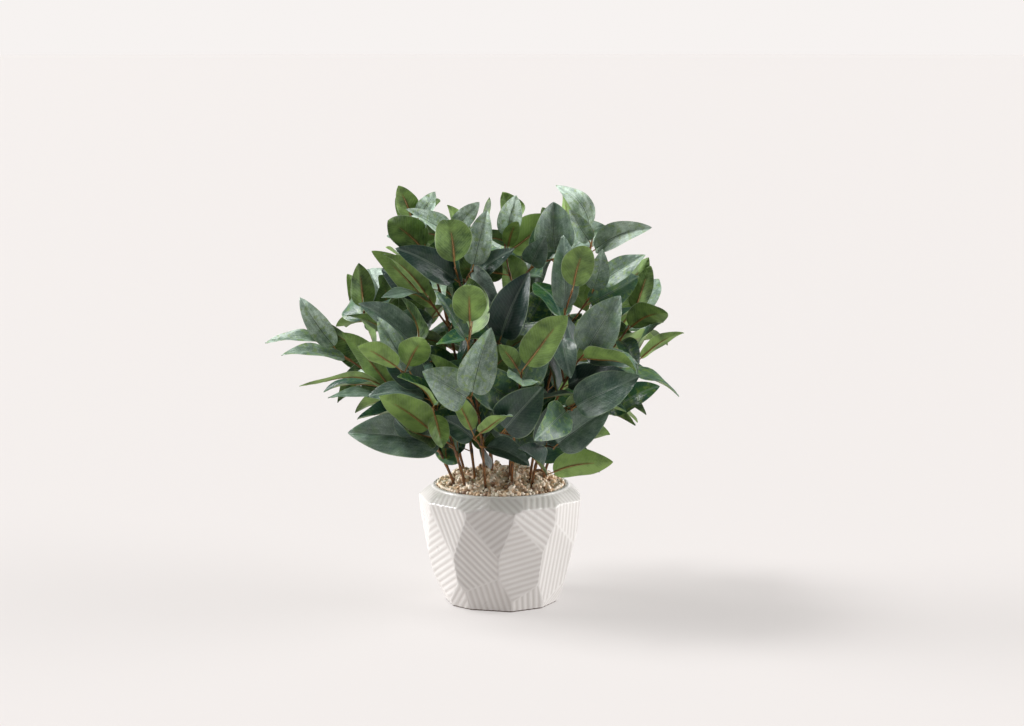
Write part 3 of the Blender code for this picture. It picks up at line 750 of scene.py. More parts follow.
    def clear_twig(self, room: Room, sprig: Sprig, stem_path: Array) -> Array:
        """The first version of a twig's curve that is clear of everything but its stem.

        Args:
            room: What has been laid out.
            sprig: What the twig belongs to.
            stem_path: The path of its stem.

        Returns:
            The twig's path.
        """
        shifts = [(a, b) for a in self.shifts for b in self.shifts]
        for shift in sorted(shifts, key=lambda pair: abs(pair[0]) + abs(pair[1])):
            path = self.twig_path(sprig, stem_path, shift)
            shell = self.tube_shell(path, self.twig_radius + self.clearance)
            if room.is_clear(shell, (self.stem_name(sprig.stem),)):
                break
        return path

    def lay_out(self) -> tuple[list[tuple[Array, Array]], list[Array], dict[str, list[Placed]]]:
        """Place the stems, the twigs, the chosen leaves and then the grown ones, in their room.

        Returns:
            Each stem's buried direction and path, each twig's path, and the leaves by name.
        """
        room = Room()
        stems = [self.stem_lines(stem) for stem in STEMS]
        for i, (_, path) in enumerate(stems):
            room.add(self.stem_name(i), self.tube_shell(path, self.stem_radius))
        twigs = []
        for sprig in SPRIGS:
            path = self.clear_twig(room, sprig, stems[sprig.stem][1])
            room.add(sprig.name, self.tube_shell(path, self.twig_radius))
            twigs.append(path)
        leaves: dict[str, list[Placed | None]] = {}
        for sprig, path in zip(SPRIGS, twigs, strict=True):
            name = sprig.name
            leaves[name] = [self.placed(room, name, leaf, path) for leaf in sprig.leaves]
        for i, (stem, (_, path)) in enumerate(zip(STEMS, stems, strict=True)):
            name = self.stem_name(i)
            grown = self.grown(i, stem.extra, path, True, stem.tip[1] < 0, self.bare_stem)
            leaves[name] = [self.placed(room, name, leaf, path) for leaf in grown]
        for i, (sprig, path) in enumerate(zip(SPRIGS, twigs, strict=True)):
            chosen = bool(sprig.leaves)
            grown = self.grown(i, sprig.extra, path, chosen, chosen, self.bare_twig)
            leaves[sprig.name] += [self.placed(room, sprig.name, leaf, path) for leaf in grown]
        found = {name: [leaf for leaf in some if leaf] for name, some in leaves.items()}
        return stems, twigs, found


# Meshes


def closed_grid(rows: int, columns: int, outward: bool = True) -> tuple[Array, Array, Array]:
    """The faces of a grid of points that closes round each row, and to a point past each end.

    Args:
        rows: How many rows of points, stored one after another.
        columns: How many points in a row.
        outward: False where the rows run the other way round, so that the faces turn over.

    Returns:
        The grid's quads, then the triangles at its start and at its end. The points past the
        ends are the two after the grid's own.
    """
    ring = np.arange(columns)
    after = np.roll(ring, -1)
    row = np.arange(rows - 1)[:, None] * columns
    quads = np.stack((row + ring, row + after, row + columns + after, row + columns + ring))
    quads = quads.reshape(4, -1).T
    hub = np.full(columns, rows * columns)
    near = np.stack((after, ring, hub), axis=1)
    last = (rows - 1) * columns
    far = np.stack((ring + last, after + last, hub + 1), axis=1)
    if outward:
        return quads, near, far
    return quads[:, ::-1], near[:, (1, 0, 2)], far[:, (1, 0, 2)]


class Patchwork:
    """The surfaces of one piece, gathered before they go into its mesh."""

    def __init__(self) -> None:
        """Start with no surface."""
        self.points: list[Array] = []
        self.faces: list[tuple[Array, int]] = []
        self.values: dict[str, list[Array]] = {}
        self.count = 0

    def add(self, points: Array, faces: list[tuple[Array, int]], **values: Array) -> None:
        """Add a surface.

        Args:
            points: Its points.
            faces: Arrays of its faces' point numbers, each with a place in the list of finishes.
            **values: A vector or a number for each point, under the attribute's name.
        """
        self.points.append(points)
        self.faces += [(some + self.count, finish) for some, finish in faces]
        for name, value in values.items():
            self.values.setdefault(name, []).append(value)
        self.count += len(points)

    def add_tube(self, path: Array, radii: Array, sides: int, finish: int) -> None:
        """Add a closed round tube along a path: centre + (across cos a + over sin a) radius.

        Args:
            path: The centre line, as rows of points.
            radii: The radius at each point.
            sides: How many sides it has.
            finish: The place of its finish in the piece's list.
        """
        tangent = unit(np.gradient(path, axis=0))
        aside = np.eye(3)[int(np.argmin(np.abs(path[-1] - path[0])))]
        across = unit(np.cross(tangent, aside))
        over = np.cross(tangent, across)
        angle = np.linspace(0, math.tau, sides, endpoint=False)
        turn = across[:, None] * np.cos(angle)[:, None] + over[:, None] * np.sin(angle)[:, None]
        ring = (path[:, None] + turn * radii[:, None, None]).reshape(-1, 3)
        points = np.concatenate((ring, path[:1], path[-1:]))
        spans = np.linalg.norm(np.diff(path, axis=0), axis=1)
        reach = np.concatenate(((0.0,), np.cumsum(spans)))
        along = np.concatenate((np.repeat(reach, sides), reach[:1], reach[-1:])) / MM
        angles = np.concatenate((np.tile(angle, len(path)), (0.0, 0.0)))
        place = np.stack((np.cos(angles), np.sin(angles), along), axis=1)
        faces = [(some, finish) for some in closed_grid(len(path), sides)]
        self.add(points, faces, blade=place, habit=0 * place, reach=0 * along)

    def piece(
        self,
        name: str,
        finishes: list[bpy.types.Material],
        slot: Slot,
        replaces: str,
        crease: float = 60,
    ) -> bpy.types.Object:
        """Put the surfaces into a mesh and the mesh into the scene.

        Args:
            name: The piece's name.
            finishes: Its materials, in the order that the faces name them.
            slot: Not used.
            replaces: The CAD node that it stands for.
            crease: The angle in degrees past which an edge is sharp.

        Returns:
            The piece, riding on the plant's one body.
        """
        points = np.concatenate(self.points).astype(np.float32)
        corners = np.concatenate([faces.ravel() for faces, _ in self.faces])
        sizes = np.concatenate([np.full(len(faces), faces.shape[1]) for faces, _ in self.faces])
        finish = np.concatenate([np.full(len(faces), place) for faces, place in self.faces])
        mesh = bpy.data.meshes.new(name)
        mesh.vertices.add(len(points))
        mesh.vertices.foreach_set("co", points.ravel())
        mesh.loops.add(len(corners))
        mesh.loops.foreach_set("vertex_index", corners.astype(np.int32))
        mesh.polygons.add(len(sizes))
        mesh.polygons.foreach_set("loop_start", (np.cumsum(sizes) - sizes).astype(np.int32))
        mesh.polygons.foreach_set("material_index", finish.astype(np.int32))
        for key, parts in self.values.items():
            value = np.concatenate(parts).astype(np.float32)
            kind, field_name = (
                ("FLOAT", "value") if value.ndim == 1 else ("FLOAT_VECTOR", "vector")
            )
            attribute = mesh.attributes.new(key, kind, "POINT")
            attribute.data.foreach_set(field_name, value.ravel())
        mesh.update(calc_edges=True)
        mesh.shade_smooth()
        mesh.set_sharp_from_angle(angle=math.radians(crease))
        for material in finishes:
            mesh.materials.append(material)
        piece = bpy.data.objects.new(name, mesh)
        bpy.context.scene.collection.objects.link(piece)
        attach(piece, BODY)
        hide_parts(replaces)
        LOG.info("%s: %d triangles, stands for %s", name, (sizes - 2).sum(), replaces)
        return piece


# Finishes


def paint(code: str) -> tuple[float, float, float, float]:
    """A linear colour from an sRGB one.

    Args:
        code: The hex value.

    Returns:
        Red, green, blue and an alpha of one.
    """
    shares = [int(code[i : i + 2], 16) / 255 for i in (1, 3, 5)]
    linear = [s / 12.92 if s <= 0.04045 else ((s + 0.055) / 1.055) ** 2.4 for s in shares]
    return (*linear, 1.0)


class Nodes:
    """A node tree that is being put together."""

    def __init__(self, tree: bpy.types.NodeTree) -> None:
        """Start with the tree as it is."""
        self.tree = tree

    def add(
        self, kind: str, *values: Given, inputs: dict | None = None, **settings: object
    ) -> Socket:
        """Add a node.

        Args:
            kind: The node's type, without its ShaderNode prefix.
            *values: A number, vector, hex colour or socket for each of its first inputs.
            inputs: The same for other inputs, by name or number.
            **settings: The node's own settings, and output, the number of the output wanted.

        Returns:
            The output.
        """
        node = self.tree.nodes.new(f"ShaderNode{kind}")
        output = settings.pop("output", 0)
        for key, value in settings.items():
            setattr(node, key, value)
        self.fill(node, dict(enumerate(values)) | (inputs or {}))
        return node.outputs[output]

    def fill(self, node: bpy.types.Node, inputs: dict) -> None:
        """Link, paint or set a node's inputs.

        Args:
            node: The node.
            inputs: A value for each name or number.
        """
        for key, value in inputs.items():
            if isinstance(value, Socket):
                self.tree.links.new(value, node.inputs[key])
            else:
                painted = paint(value) if isinstance(value, str) else value
                node.inputs[key].default_value = painted


class Recipe(Nodes):
    """A material's node tree, with its Principled shader."""

    def __init__(self, name: str) -> None:
        """Start a material that has only its shader.

        Args:
            name: The material's name.
        """
        self.material = bpy.data.materials.new(name)
        self.material.use_nodes = True
        super().__init__(self.material.node_tree)
        self.shader = self.tree.nodes["Principled BSDF"]

    def finish(
        self,
        base: Given,
        layers: tuple[tuple[Socket, Given], ...],
        relief: tuple[Socket, float, float],
        shader: dict,
    ) -> bpy.types.Material:
        """Lay colours over one another, raise the relief and set the shader.

        Args:
            base: The lowest colour.
            layers: How much of each colour lies over what is below it, and that colour.
            relief: The height of the bump, its strength, and its depth in metres.
            shader: The shader's other inputs.

        Returns:
            The material.
        """
        for amount, colour in layers:
            base = self.add("Mix", amount, inputs={6: base, 7: colour}, **BLEND)
        height, strength, depth = relief
        bump = self.add("Bump", inputs={"Height": height, "Strength": strength, "Distance": depth})
        self.fill(self.shader, {"Base Color": base, "Normal": bump} | shader)
        return self.material


@dataclass(frozen=True)
class BladePlace:
    """What the leaf cloths read from a blade: millimetres across and along, and its habit."""

    off: Socket
    slant: Socket
    edge: Socket
    tone: Socket
    bloom_and_light: Socket
    reach: Socket
    place: Socket

    @classmethod
    def read(cls, r: Recipe) -> BladePlace:
        """Add the nodes that read the blade's three attributes.

        Args:
            r: The material's recipe.

        Returns:
            The sockets. The slant is the distance along less the distance off the midrib, which
            is the same all along a side vein.
        """
        place = r.add("Attribute", attribute_name="blade", output=1)
        across, along, _ = r.add("SeparateXYZ", place).node.outputs
        habit = r.add("Attribute", attribute_name="habit", output=1)
        share, tone, bloom_and_light = r.add("SeparateXYZ", habit).node.outputs
        off = r.add("Math", across, operation="ABSOLUTE")
        slant = r.add("Math", off, -VEIN_SLOPE, along, **SCALED)
        edge = r.add("Math", share, operation="ABSOLUTE")
        reach = r.add("Attribute", attribute_name="reach", output=2)
        return cls(off, slant, edge, tone, bloom_and_light, reach, place)

    def streaks(self, r: Recipe, width: float, length: float) -> Socket:
        """Streaks that run with the side veins.

        Args:
            r: The material's recipe.
            width: Across a streak, in millimetres.
            length: Along it.

        Returns:
            Noise over the slant and the distance off the midrib, each at its own scale.
        """
        fine = r.add("Math", self.slant, width, operation="DIVIDE")
        long = r.add("Math", self.off, length, operation="DIVIDE")
        spot = r.add("CombineXYZ", fine, long, self.tone)
        return r.add("TexNoise", spot, inputs={"Scale": 1.0, "Detail": 3.0})

    def wrinkles(self, r: Recipe) -> Socket:
        """Noise stretched along the blade: creases about 2.5 mm wide and 14 mm long."""
        spot = r.add("VectorMath", self.place, (0.4, 0.07, 1.0), **TIMES)
        return r.add("TexNoise", spot, inputs={"Scale": 1.0, "Detail": 2.0})

    def veins(self, r: Recipe, spacing: float, start: float = 0.6) -> Socket:
        """Side veins: thin lines at even steps of the slant, with a slow wander.

        Args:
            r: The material's recipe.
            spacing: Between two veins, in millimetres.
            start: The sine at which a line starts; nearer to one is thinner.

        Returns:
            0 between the veins to 1 on them.
        """
        wander = r.add("TexNoise", self.place, inputs={"Scale": 1 / 6.0, "Detail": 1.0})
        turn = r.add("Math", self.slant, math.tau / spacing, **TIMES)
        wave = r.add("Math", wander, 5.0, turn, **SCALED)
        wave = r.add("Math", wave, operation="SINE")
        return r.add("MapRange", wave, start, 1.0, 0.0, 1.0, **SMOOTH)


@dataclass(frozen=True)
class LeafTop:
    """Printed polyester cloth with a wax coat, top side: deep blue-green, a dusty bloom combed
    along the pressed veins that is also painted light on leaves that face the sky, painted shade
    in the midrib's groove, yellow-green flecks, a painted highlight along the rim, and a satin
    shine where it is grazed."""

    teal: str = "#154d35"
    deep: str = "#0a2925"
    green: str = "#3c6a1c"
    # A pale wax dust, which is also painted light on leaves that face the sky.
    bloom_and_light: str = "#c4d8c8"
    fleck: str = "#7d9a42"
    # Painted shade down the midrib's groove.
    crease: str = "#182a22"
    # A painted highlight along the cut rim.
    rim: str = "#93a884"
    # In millimetres. Side veins on such a leaf are about 1.5 mm apart and its cloth has threads
    # of 0.2 mm: the veins and the grain are drawn coarser, so that they show.
    vein_spacing: float = 3.4
    grain: float = 0.8
    fleck_size: float = 4.2
    patch: float = 9.0
    print_patch: float = 13.0
    roughness: float = 0.3

    def make(self) -> bpy.types.Material:
        """Build the material.

        Returns:
            The material.
        """
        r = Recipe("leaf cloth top")
        b = BladePlace.read(r)
        veins = b.veins(r, self.vein_spacing)
        combed = b.streaks(r, 0.5, 6.0)
        creased = b.wrinkles(r)
        grain = r.add("TexNoise", b.place, inputs={"Scale": 1 / self.grain, "Detail": 1.0})

        # The print: two blue-greens, mottled, and a green in wide patches.
        mottle = r.add("Math", grain, 0.5, b.tone, **SCALED)
        mottle = r.add("Math", mottle, 0.25, operation="SUBTRACT", use_clamp=True)
        broad = r.add("TexNoise", b.place, inputs={"Scale": 1 / self.print_patch})
        warm = r.add("MapRange", broad, 0.42, 0.72, 0.0, 0.9, **SMOOTH)
        warm = r.add("Math", warm, b.tone, **TIMES)

        # The bloom: a pale wax dust, thin on creases and between its clouds, as strong as the
        # leaf's habit, which adds painted light on leaves high up, far out and facing the sky.
        patches = r.add("TexNoise", b.place, inputs={"Scale": 1 / self.patch, "Detail": 3.0})
        dust_and_light = r.add("Math", b.bloom_and_light, 1.6, operation="POWER")
        for source, low, high, least in (
            (combed, 0.3, 0.75, 0.72),
            (creased, 0.34, 0.66, 0.6),
            (patches, 0.33, 0.66, 0.55),
        ):
            part = r.add("MapRange", source, low, high, least, 1.0, **SMOOTH)
            dust_and_light = r.add("Math", dust_and_light, part, **TIMES)
        powder = r.add("Math", grain, 1.8, 0.45, **SCALED)
        dust_and_light = r.add("Math", dust_and_light, powder, **TIMES)
        dust_and_light = r.add("Math", veins, 0.03, dust_and_light, use_clamp=True, **SCALED)

        # Flecks on the paler leaves, painted shade in the midrib's groove inside its pale band,
        # and a painted highlight along the cut rim.
        flecks = r.add("TexNoise", b.place, inputs={"Scale": 1 / self.fleck_size})
        flecks = r.add("MapRange", flecks, 0.5, 0.7, 0.0, 0.6, **SMOOTH)
        often = r.add("MapRange", b.tone, 0.4, 0.62, 0.0, 1.0, **SMOOTH)
        flecks = r.add("Math", flecks, often, **TIMES)
        pale = r.add("MapRange", b.off, 0.3, 1.3, 0.2, 0.0, **SMOOTH)
        # Painted shade down the midrib's groove, fading towards the tip.
        line = r.add("MapRange", b.off, 0.12, 0.4, 0.8, 0.0, **SMOOTH)
        ending = r.add("MapRange", b.reach, 0.4, 0.95, 1.0, 0.0, **SMOOTH)
        line = r.add("Math", line, ending, **TIMES)
        # A painted highlight along the cut rim.
        rim = r.add("MapRange", b.edge, 0.94, 0.99, 0.0, 0.6, **SMOOTH)

        relief = r.add("Math", veins, 0.35, combed, **SCALED)
        relief = r.add("Math", line, -1.6, relief, **SCALED)
        relief = r.add("Math", creased, 4.0, relief, **SCALED)
        rough = r.add("Math", dust_and_light, 0.22, self.roughness, **SCALED)
        layers = (
            (mottle, self.teal), (warm, self.green), (dust_and_light, self.bloom_and_light), (flecks, self.fleck),
            (pale, self.bloom_and_light), (line, self.crease), (rim, self.rim),
        )
        shader = {
            "Roughness": rough,
            "Specular IOR Level": 0.45,
            "Sheen Weight": 0.04,
            "Sheen Roughness": 0.35,
            # A leaf: its start along the twig, its tip, its width, the side turned to the front,
            # by how many degrees that side leans up, how its blade is made, how far the cloth
            # hooks sideways, and how pale it is where that is chosen, which on the top is partly
            # dust and on the underside partly print, and on both partly painted light.
            "Sheen Tint": "#dfece6",
        }
        return r.finish(self.deep, layers, (relief, 0.6, 0.2 * MM), shader)


@dataclass(frozen=True)
class LeafUnder:
    """The same cloth from below: a yellow-green print, cloudy and darker in patches, matt, with
    raised veins and a tan shade that fades away from the rib."""

    # The underside in shade and in light: a leaf's tone picks between them, partly as painted
    # shade and light.
    shade: str = "#254218"
    light: str = "#86a654"
    tan: str = "#6b4a26"
    # Pale: the raised veins, and a painted highlight along the cut rim.
    rim: str = "#a3b294"
    # In millimetres, and drawn coarser than the real veins and threads, as on the top side.
    vein_spacing: float = 3.4
    grain: float = 0.8
    cloud: float = 11.0
    roughness: float = 0.46

    def make(self) -> bpy.types.Material:
        """Build the material.

        Returns:
            The material.
        """
        r = Recipe("leaf cloth underside")
        b = BladePlace.read(r)
        veins = b.veins(r, self.vein_spacing)
        combed = b.streaks(r, 1.0, 8.0)

        # The print: cloudy, combed and grainy, and as pale as the leaf's own tone, which runs from
        # the shaded to the sunlit green and so is partly painted shade and light.
        clouds = r.add("TexNoise", b.place, inputs={"Scale": 1 / self.cloud, "Detail": 3.0})
        grain = r.add("TexNoise", b.place, inputs={"Scale": 1 / self.grain, "Detail": 1.0})
        mix = r.add("Math", clouds, 1.7, -0.85, **SCALED)
        mix = r.add("Math", combed, 0.4, mix, **SCALED)
        mix = r.add("Math", grain, 0.3, mix, **SCALED)
        mix = r.add("Math", mix, -0.35, operation="ADD")
        mix = r.add("Math", mix, b.tone, operation="ADD", use_clamp=True)
        faint = r.add("Math", veins, 0.1, **TIMES)
        stain = r.add("MapRange", b.off, 0.4, 2.0, 0.75, 0.0, **SMOOTH)
        ending = r.add("MapRange", b.reach, 0.3, 0.8, 1.0, 0.0, **SMOOTH)
        stain = r.add("Math", stain, ending, **TIMES)
        # A painted highlight along the cut rim.
        rim = r.add("MapRange", b.edge, 0.95, 0.99, 0.0, 0.7, **SMOOTH)

        relief = r.add("Math", veins, 0.5, combed, **SCALED)
        relief = r.add("Math", b.wrinkles(r), 3.0, relief, **SCALED)
        rough = r.add("Math", combed, 0.15, self.roughness, **SCALED)
        layers = ((mix, self.light), (faint, self.rim), (stain, self.tan), (rim, self.rim))
        shader = {
            "Roughness": rough,
            "Specular IOR Level": 0.42,
            "Sheen Weight": 0.1,
            "Sheen Roughness": 0.4,
            "Sheen Tint": "#eef0dc",
        }
        return r.finish(self.shade, layers, (relief, 0.55, 0.18 * MM), shader)


@dataclass(frozen=True)
class CoatedWire:
    """Soft plastic coat on wire: brown, streaked along in a lighter colour, and satin."""

    name: str
    dark: str
    light: str
    roughness: float = 0.4

    def make(self) -> bpy.types.Material:
        """Build the material.

        Returns:
            The material. Its streaks are a tenth of its girth wide and 4.5 mm long.
        """
        r = Recipe(self.name)
        place = r.add("Attribute", attribute_name="blade", output=1)
        stretch = r.add("VectorMath", place, (1.0, 1.0, 0.14), **TIMES)
        streak = r.add("TexNoise", stretch, inputs={"Scale": 1.6, "Detail": 4.0})
        streak = r.add("MapRange", streak, 0.34, 0.64, 0.0, 1.0, **SMOOTH)
        rough = r.add("Math", streak, 0.15, self.roughness, **SCALED)
        layers = ((streak, self.light),)
        return r.finish(self.dark, layers, (streak, 0.6, 0.2 * MM), {"Roughness": rough})


@dataclass(frozen=True)
class IvoryGlaze:
    """Stoneware under a semi-gloss ivory glaze: it runs thin and white on the ridges, pools a
    little darker in the flutes, and stops just short of the foot, where the clay is bare and
    painted dark as the contact shadow under the pot."""

    ridge: str = "#dedbd8"
    pool: str = "#cbc6c2"
    # Bare clay at the foot, painted dark as the contact shadow under the pot.
    foot_shade_clay: str = "#4d392a"
    # To the metre: clouds of 22 mm, the clay's grit of 1.1 mm, and the glaze's peel of 4 mm.
    clouds: float = 45.0
    grit: float = 900.0
    peel: float = 260.0
    roughness: float = 0.24

    def make(self) -> bpy.types.Material:
        """Build the material.

        Returns:
            The material.
        """
        r = Recipe("ivory glaze on stoneware")
        wear = r.add("Attribute", attribute_name="wear", output=1)
        groove, foot_shade, _ = r.add("SeparateXYZ", wear).node.outputs
        spot = r.add("TexCoord", output=3)
        cloud = r.add("TexNoise", spot, inputs={"Scale": self.clouds, "Detail": 3.0})
        depth = r.add("Math", cloud, 0.5, groove, **SCALED)
        depth = r.add("Math", depth, 0.25, operation="SUBTRACT", use_clamp=True)
        grain = r.add("TexNoise", spot, inputs={"Scale": self.grit, "Detail": 2.0})
        # The foot band of bare clay, painted dark as the contact shadow under the pot, with a
        # gritty edge.
        edge = r.add("Math", grain, 0.3, foot_shade, **SCALED)
        edge = r.add("MapRange", edge, 0.5, 0.75, 0.0, 1.0, **SMOOTH)
        rough = r.add("Math", cloud, 0.1, self.roughness, **SCALED)
        rough = r.add("Math", edge, 0.5, rough, **SCALED)
        peel = r.add("TexNoise", spot, inputs={"Scale": self.peel, "Detail": 1.0})
        layers = ((depth, self.pool), (edge, self.foot_shade_clay))
        shader = {"Roughness": rough, "IOR": 1.52, "Coat Weight": 0.25, "Coat Roughness": 0.12}
        return r.finish(self.ridge, layers, (peel, 0.25, 0.15 * MM), shader)


@dataclass(frozen=True)
class RiverGrit:
    """Rounded river grit glued with a clear binder: cream, sand and brown grains, each its own
    tone, faintly speckled, with a dull wet shine."""

    cream: str = "#fff1de"
    sand: str = "#f6d6b3"
    brown: str = "#6a4226"
    speckles: float = 900.0
    roughness: float = 0.36

    def make(self) -> bpy.types.Material:
        """Build the material.

        Returns:
            The material. Its speckles are 1.1 mm, coarser than the real ones, to show.
        """
        r = Recipe("river grit")
        tone = r.add("Attribute", attribute_name="tone", output=2)
        spot = r.add("TexCoord", output=3)
        speckle = r.add("TexNoise", spot, inputs={"Scale": self.speckles, "Detail": 3.0})
        mixed = r.add("Math", speckle, 0.4, tone, **SCALED)
        mixed = r.add("Math", mixed, 0.2, operation="SUBTRACT")
        low = r.add("MapRange", mixed, -0.1, 0.3, 0.0, 1.0, **SMOOTH)
        high = r.add("MapRange", mixed, 0.35, 0.85, 0.0, 1.0, **SMOOTH)
        rough = r.add("Math", speckle, 0.2, self.roughness, **SCALED)
        layers = ((low, self.sand), (high, self.cream))
        return r.finish(self.brown, layers, (speckle, 0.4, 0.2 * MM), {"Roughness": rough})


@dataclass(frozen=True)
class DryFoam:
    """Dry floral foam: grey-green, matt, with open cells of 0.7 mm."""

    dark: str = "#4b5347"
    light: str = "#6a7363"
    cells: float = 1400.0

    def make(self) -> bpy.types.Material:
        """Build the material.

        Returns:
            The material.
        """
        r = Recipe("dry floral foam")
        spot = r.add("TexCoord", output=3)
        cells = r.add("TexVoronoi", spot, inputs={"Scale": self.cells})
        layers = ((cells, self.light),)
        return r.finish(self.dark, layers, (cells, 0.6, 0.3 * MM), {"Roughness": 0.95})


@dataclass(frozen=True)
class OpalTable:
    """A matt opal acrylic table top, lit evenly from below, so that shadows on it stay pale."""

    colour: str = "#7c7978"
    lit: str = "#fbf6f3"
    level: float = 0.5455
    tooth: float = 700.0

    def make(self) -> bpy.types.Material:
        """Build the material.

        Returns:
            The material. Its tooth is 1.4 mm, coarser than sanded acrylic's, to show.
        """
        r = Recipe("opal acrylic")
        spot = r.add("TexCoord", output=3)
        tooth = r.add("TexNoise", spot, inputs={"Scale": self.tooth, "Detail": 2.0})
        shader = {
            "Roughness": 0.9,
            "Specular IOR Level": 0.2,
            "Emission Color": self.lit,
            "Emission Strength": self.level,
        }
        return r.finish(self.colour, (), (tooth, 0.05, 0.2 * MM), shader)


# Sub-assemblies


@dataclass
class Ring:
    """A ring of flat facets: its tilt in degrees, the height at which the radii hold, and for
    each facet its azimuth, its radius and the slope of its flutes."""

    tilt: float
    height: float
    facets: list[tuple[float, float, float]]


@dataclass
class Pot:
    """The faceted pot: flat facets under a round lip, each pressed with its own run of flutes.
    Lengths are in millimetres."""

    height: float = 112.0
    lip_radius: float = 62.5
    lip_slope: float = 1.444
    lip_round: float = 1.3
    mouth_radius: float = 60.0
    cavity: tuple[tuple[float, float], ...] = (
        (60.0, 106.0), (67.0, 97.0), (67.0, 86.0), (60.5, 57.0), (46.5, 9.0), (44.5, 7.0),
    )
    pitch: float = 5.6
    depth: float = 0.34
    groove_power: float = 1.2
    flute_end: float = 1.2
    meeting: float = 0.35
    softness: float = 0.4
    foot_round: float = 1.4
    # The band of bare clay at the foot, painted dark as the contact shadow under the pot, and the
    # height in millimetres over which it fades.
    foot_shade_band: tuple[float, float] = (1.6, 1.3)
    under_rings: tuple[float, ...] = (0.55, 0.85)
    columns: int = 560
    wall_rows: int = 128
    lip_rows: int = 6
    rings: list[Ring] = field(default_factory=lambda: [
        Ring(45, 112, [
            (-75, 63.5, 84), (-42, 63.5, 100), (-21, 63.5, 50), (4, 63.5, 130), (29, 63.5, 68),
            (62, 63.5, 95), (95, 63.5, 45), (126, 63.5, 120), (158, 63.5, 70), (190, 63.5, 140),
            (221, 63.5, 40), (253, 63.5, 100),
        ]),
        Ring(-5, 88, [
            (-75, 73.2, 150), (-41, 73.2, 113), (-8, 73.2, 38), (27, 73.2, 142), (57, 73.2, 90),
            (90, 73.2, 35), (122, 73.2, 118), (155, 73.2, 60), (188, 73.2, 145), (220, 73.2, 80),
            (252, 73.2, 30),
        ]),
        Ring(-14, 57, [
            (-57, 67.6, 28), (-20, 67.6, 134), (17, 67.6, 14), (50, 67.6, 92), (88, 68.8, 125),
            (124, 68.8, 40), (160, 68.8, 100), (196, 68.8, 20), (232, 68.8, 130), (266, 68.8, 75),
        ]),
        Ring(-27, 0, [
            (-41, 49.3, 48), (-13, 46.1, 98), (27, 48.6, 105), (60, 50.5, 60), (95, 51.0, 140),
            (128, 50.0, 80), (162, 50.0, 30), (196, 50.0, 120), (228, 50.0, 55), (258, 50.0, 95),
            (286, 50.0, 140),
        ]),
    ])

    FAR = 400.0
    """The radius given to a facet in the directions that it doesn't face."""

    def walls(self, turn: Array, height: Array) -> tuple[Array, Array, Array]:
        """The radius of each facet's plane, and of the lip's cone, in every direction.

        Args:
            turn: The azimuth of each column.
            height: The height of each row, a column of numbers.

        Returns:
            The radii, the flutes' height under each facet from 0 on a ridge to 1 in a groove, and
            the radius of the lip's cone. A plane n . p = d is met at the radius
            (d - n_z z) / (n_r cos(turn - azimuth)). A groove is (1 + cos(2 pi u / pitch)) / 2 to
            a power, u being the distance across the flutes on the facet, with a start of its own
            on each facet.
        """
        radii = []
        grooves = []
        for index, ring in enumerate(self.rings):
            flat = math.cos(math.radians(ring.tilt))
            rise = math.sin(math.radians(ring.tilt))
            for azimuth, radius, slope in ring.facets:
                off = turn - math.radians(azimuth)
                off = (off + math.pi) % math.tau - math.pi
                facing = np.maximum(np.cos(off), 0.2)
                distance = flat * radius + rise * ring.height
                wall = (distance - rise * height) / (flat * facing)
                across = wall * np.sin(off)
                up = (height - ring.height) / flat
                angle = math.radians(slope)
                u = across * math.sin(angle) - up * math.cos(angle) + index * 1.7 + azimuth * 0.31
                groove = (0.5 + 0.5 * np.cos(math.tau * u / self.pitch)) ** self.groove_power
                radii.append(np.where(np.cos(off) > 0.25, wall, self.FAR))
                grooves.append(groove)
        lip = self.lip_radius + self.lip_slope * (self.height - height) + 0.0 * turn
        return np.array(radii), np.array(grooves), lip

    def side(self, turn: Array, height: Array) -> tuple[Array, Array]:
        """The outside.

        Args:
            turn: The azimuth of each column.
            height: The height of each row, a column of numbers.

        Returns:
            The radius and the groove's depth from 0 to 1. The radius is the soft minimum
            -k log(sum exp(-r / k)) of all the walls, less the depth of the flute of the nearest
            facet, which fades where two facets meet and at the lip.
        """
        radii, grooves, lip = self.walls(turn, height)
        order = np.sort(radii, axis=0)
        nearest = np.minimum(order[0], lip)
        soft = np.exp(-(np.concatenate((radii, lip[None])) - nearest) / self.softness).sum(axis=0)
        first = np.argmin(radii, axis=0)
        groove = np.take_along_axis(grooves, first[None], axis=0)[0]
        fade = np.clip((order[1] - order[0]) / self.meeting, 0, 1)
        fade = fade * fade * (3 - 2 * fade)
        top = np.clip((self.height - self.lip_round - height) / self.flute_end, 0, 1)
        groove = groove * fade * top
        return nearest - self.softness * np.log(soft) - self.depth * groove, groove

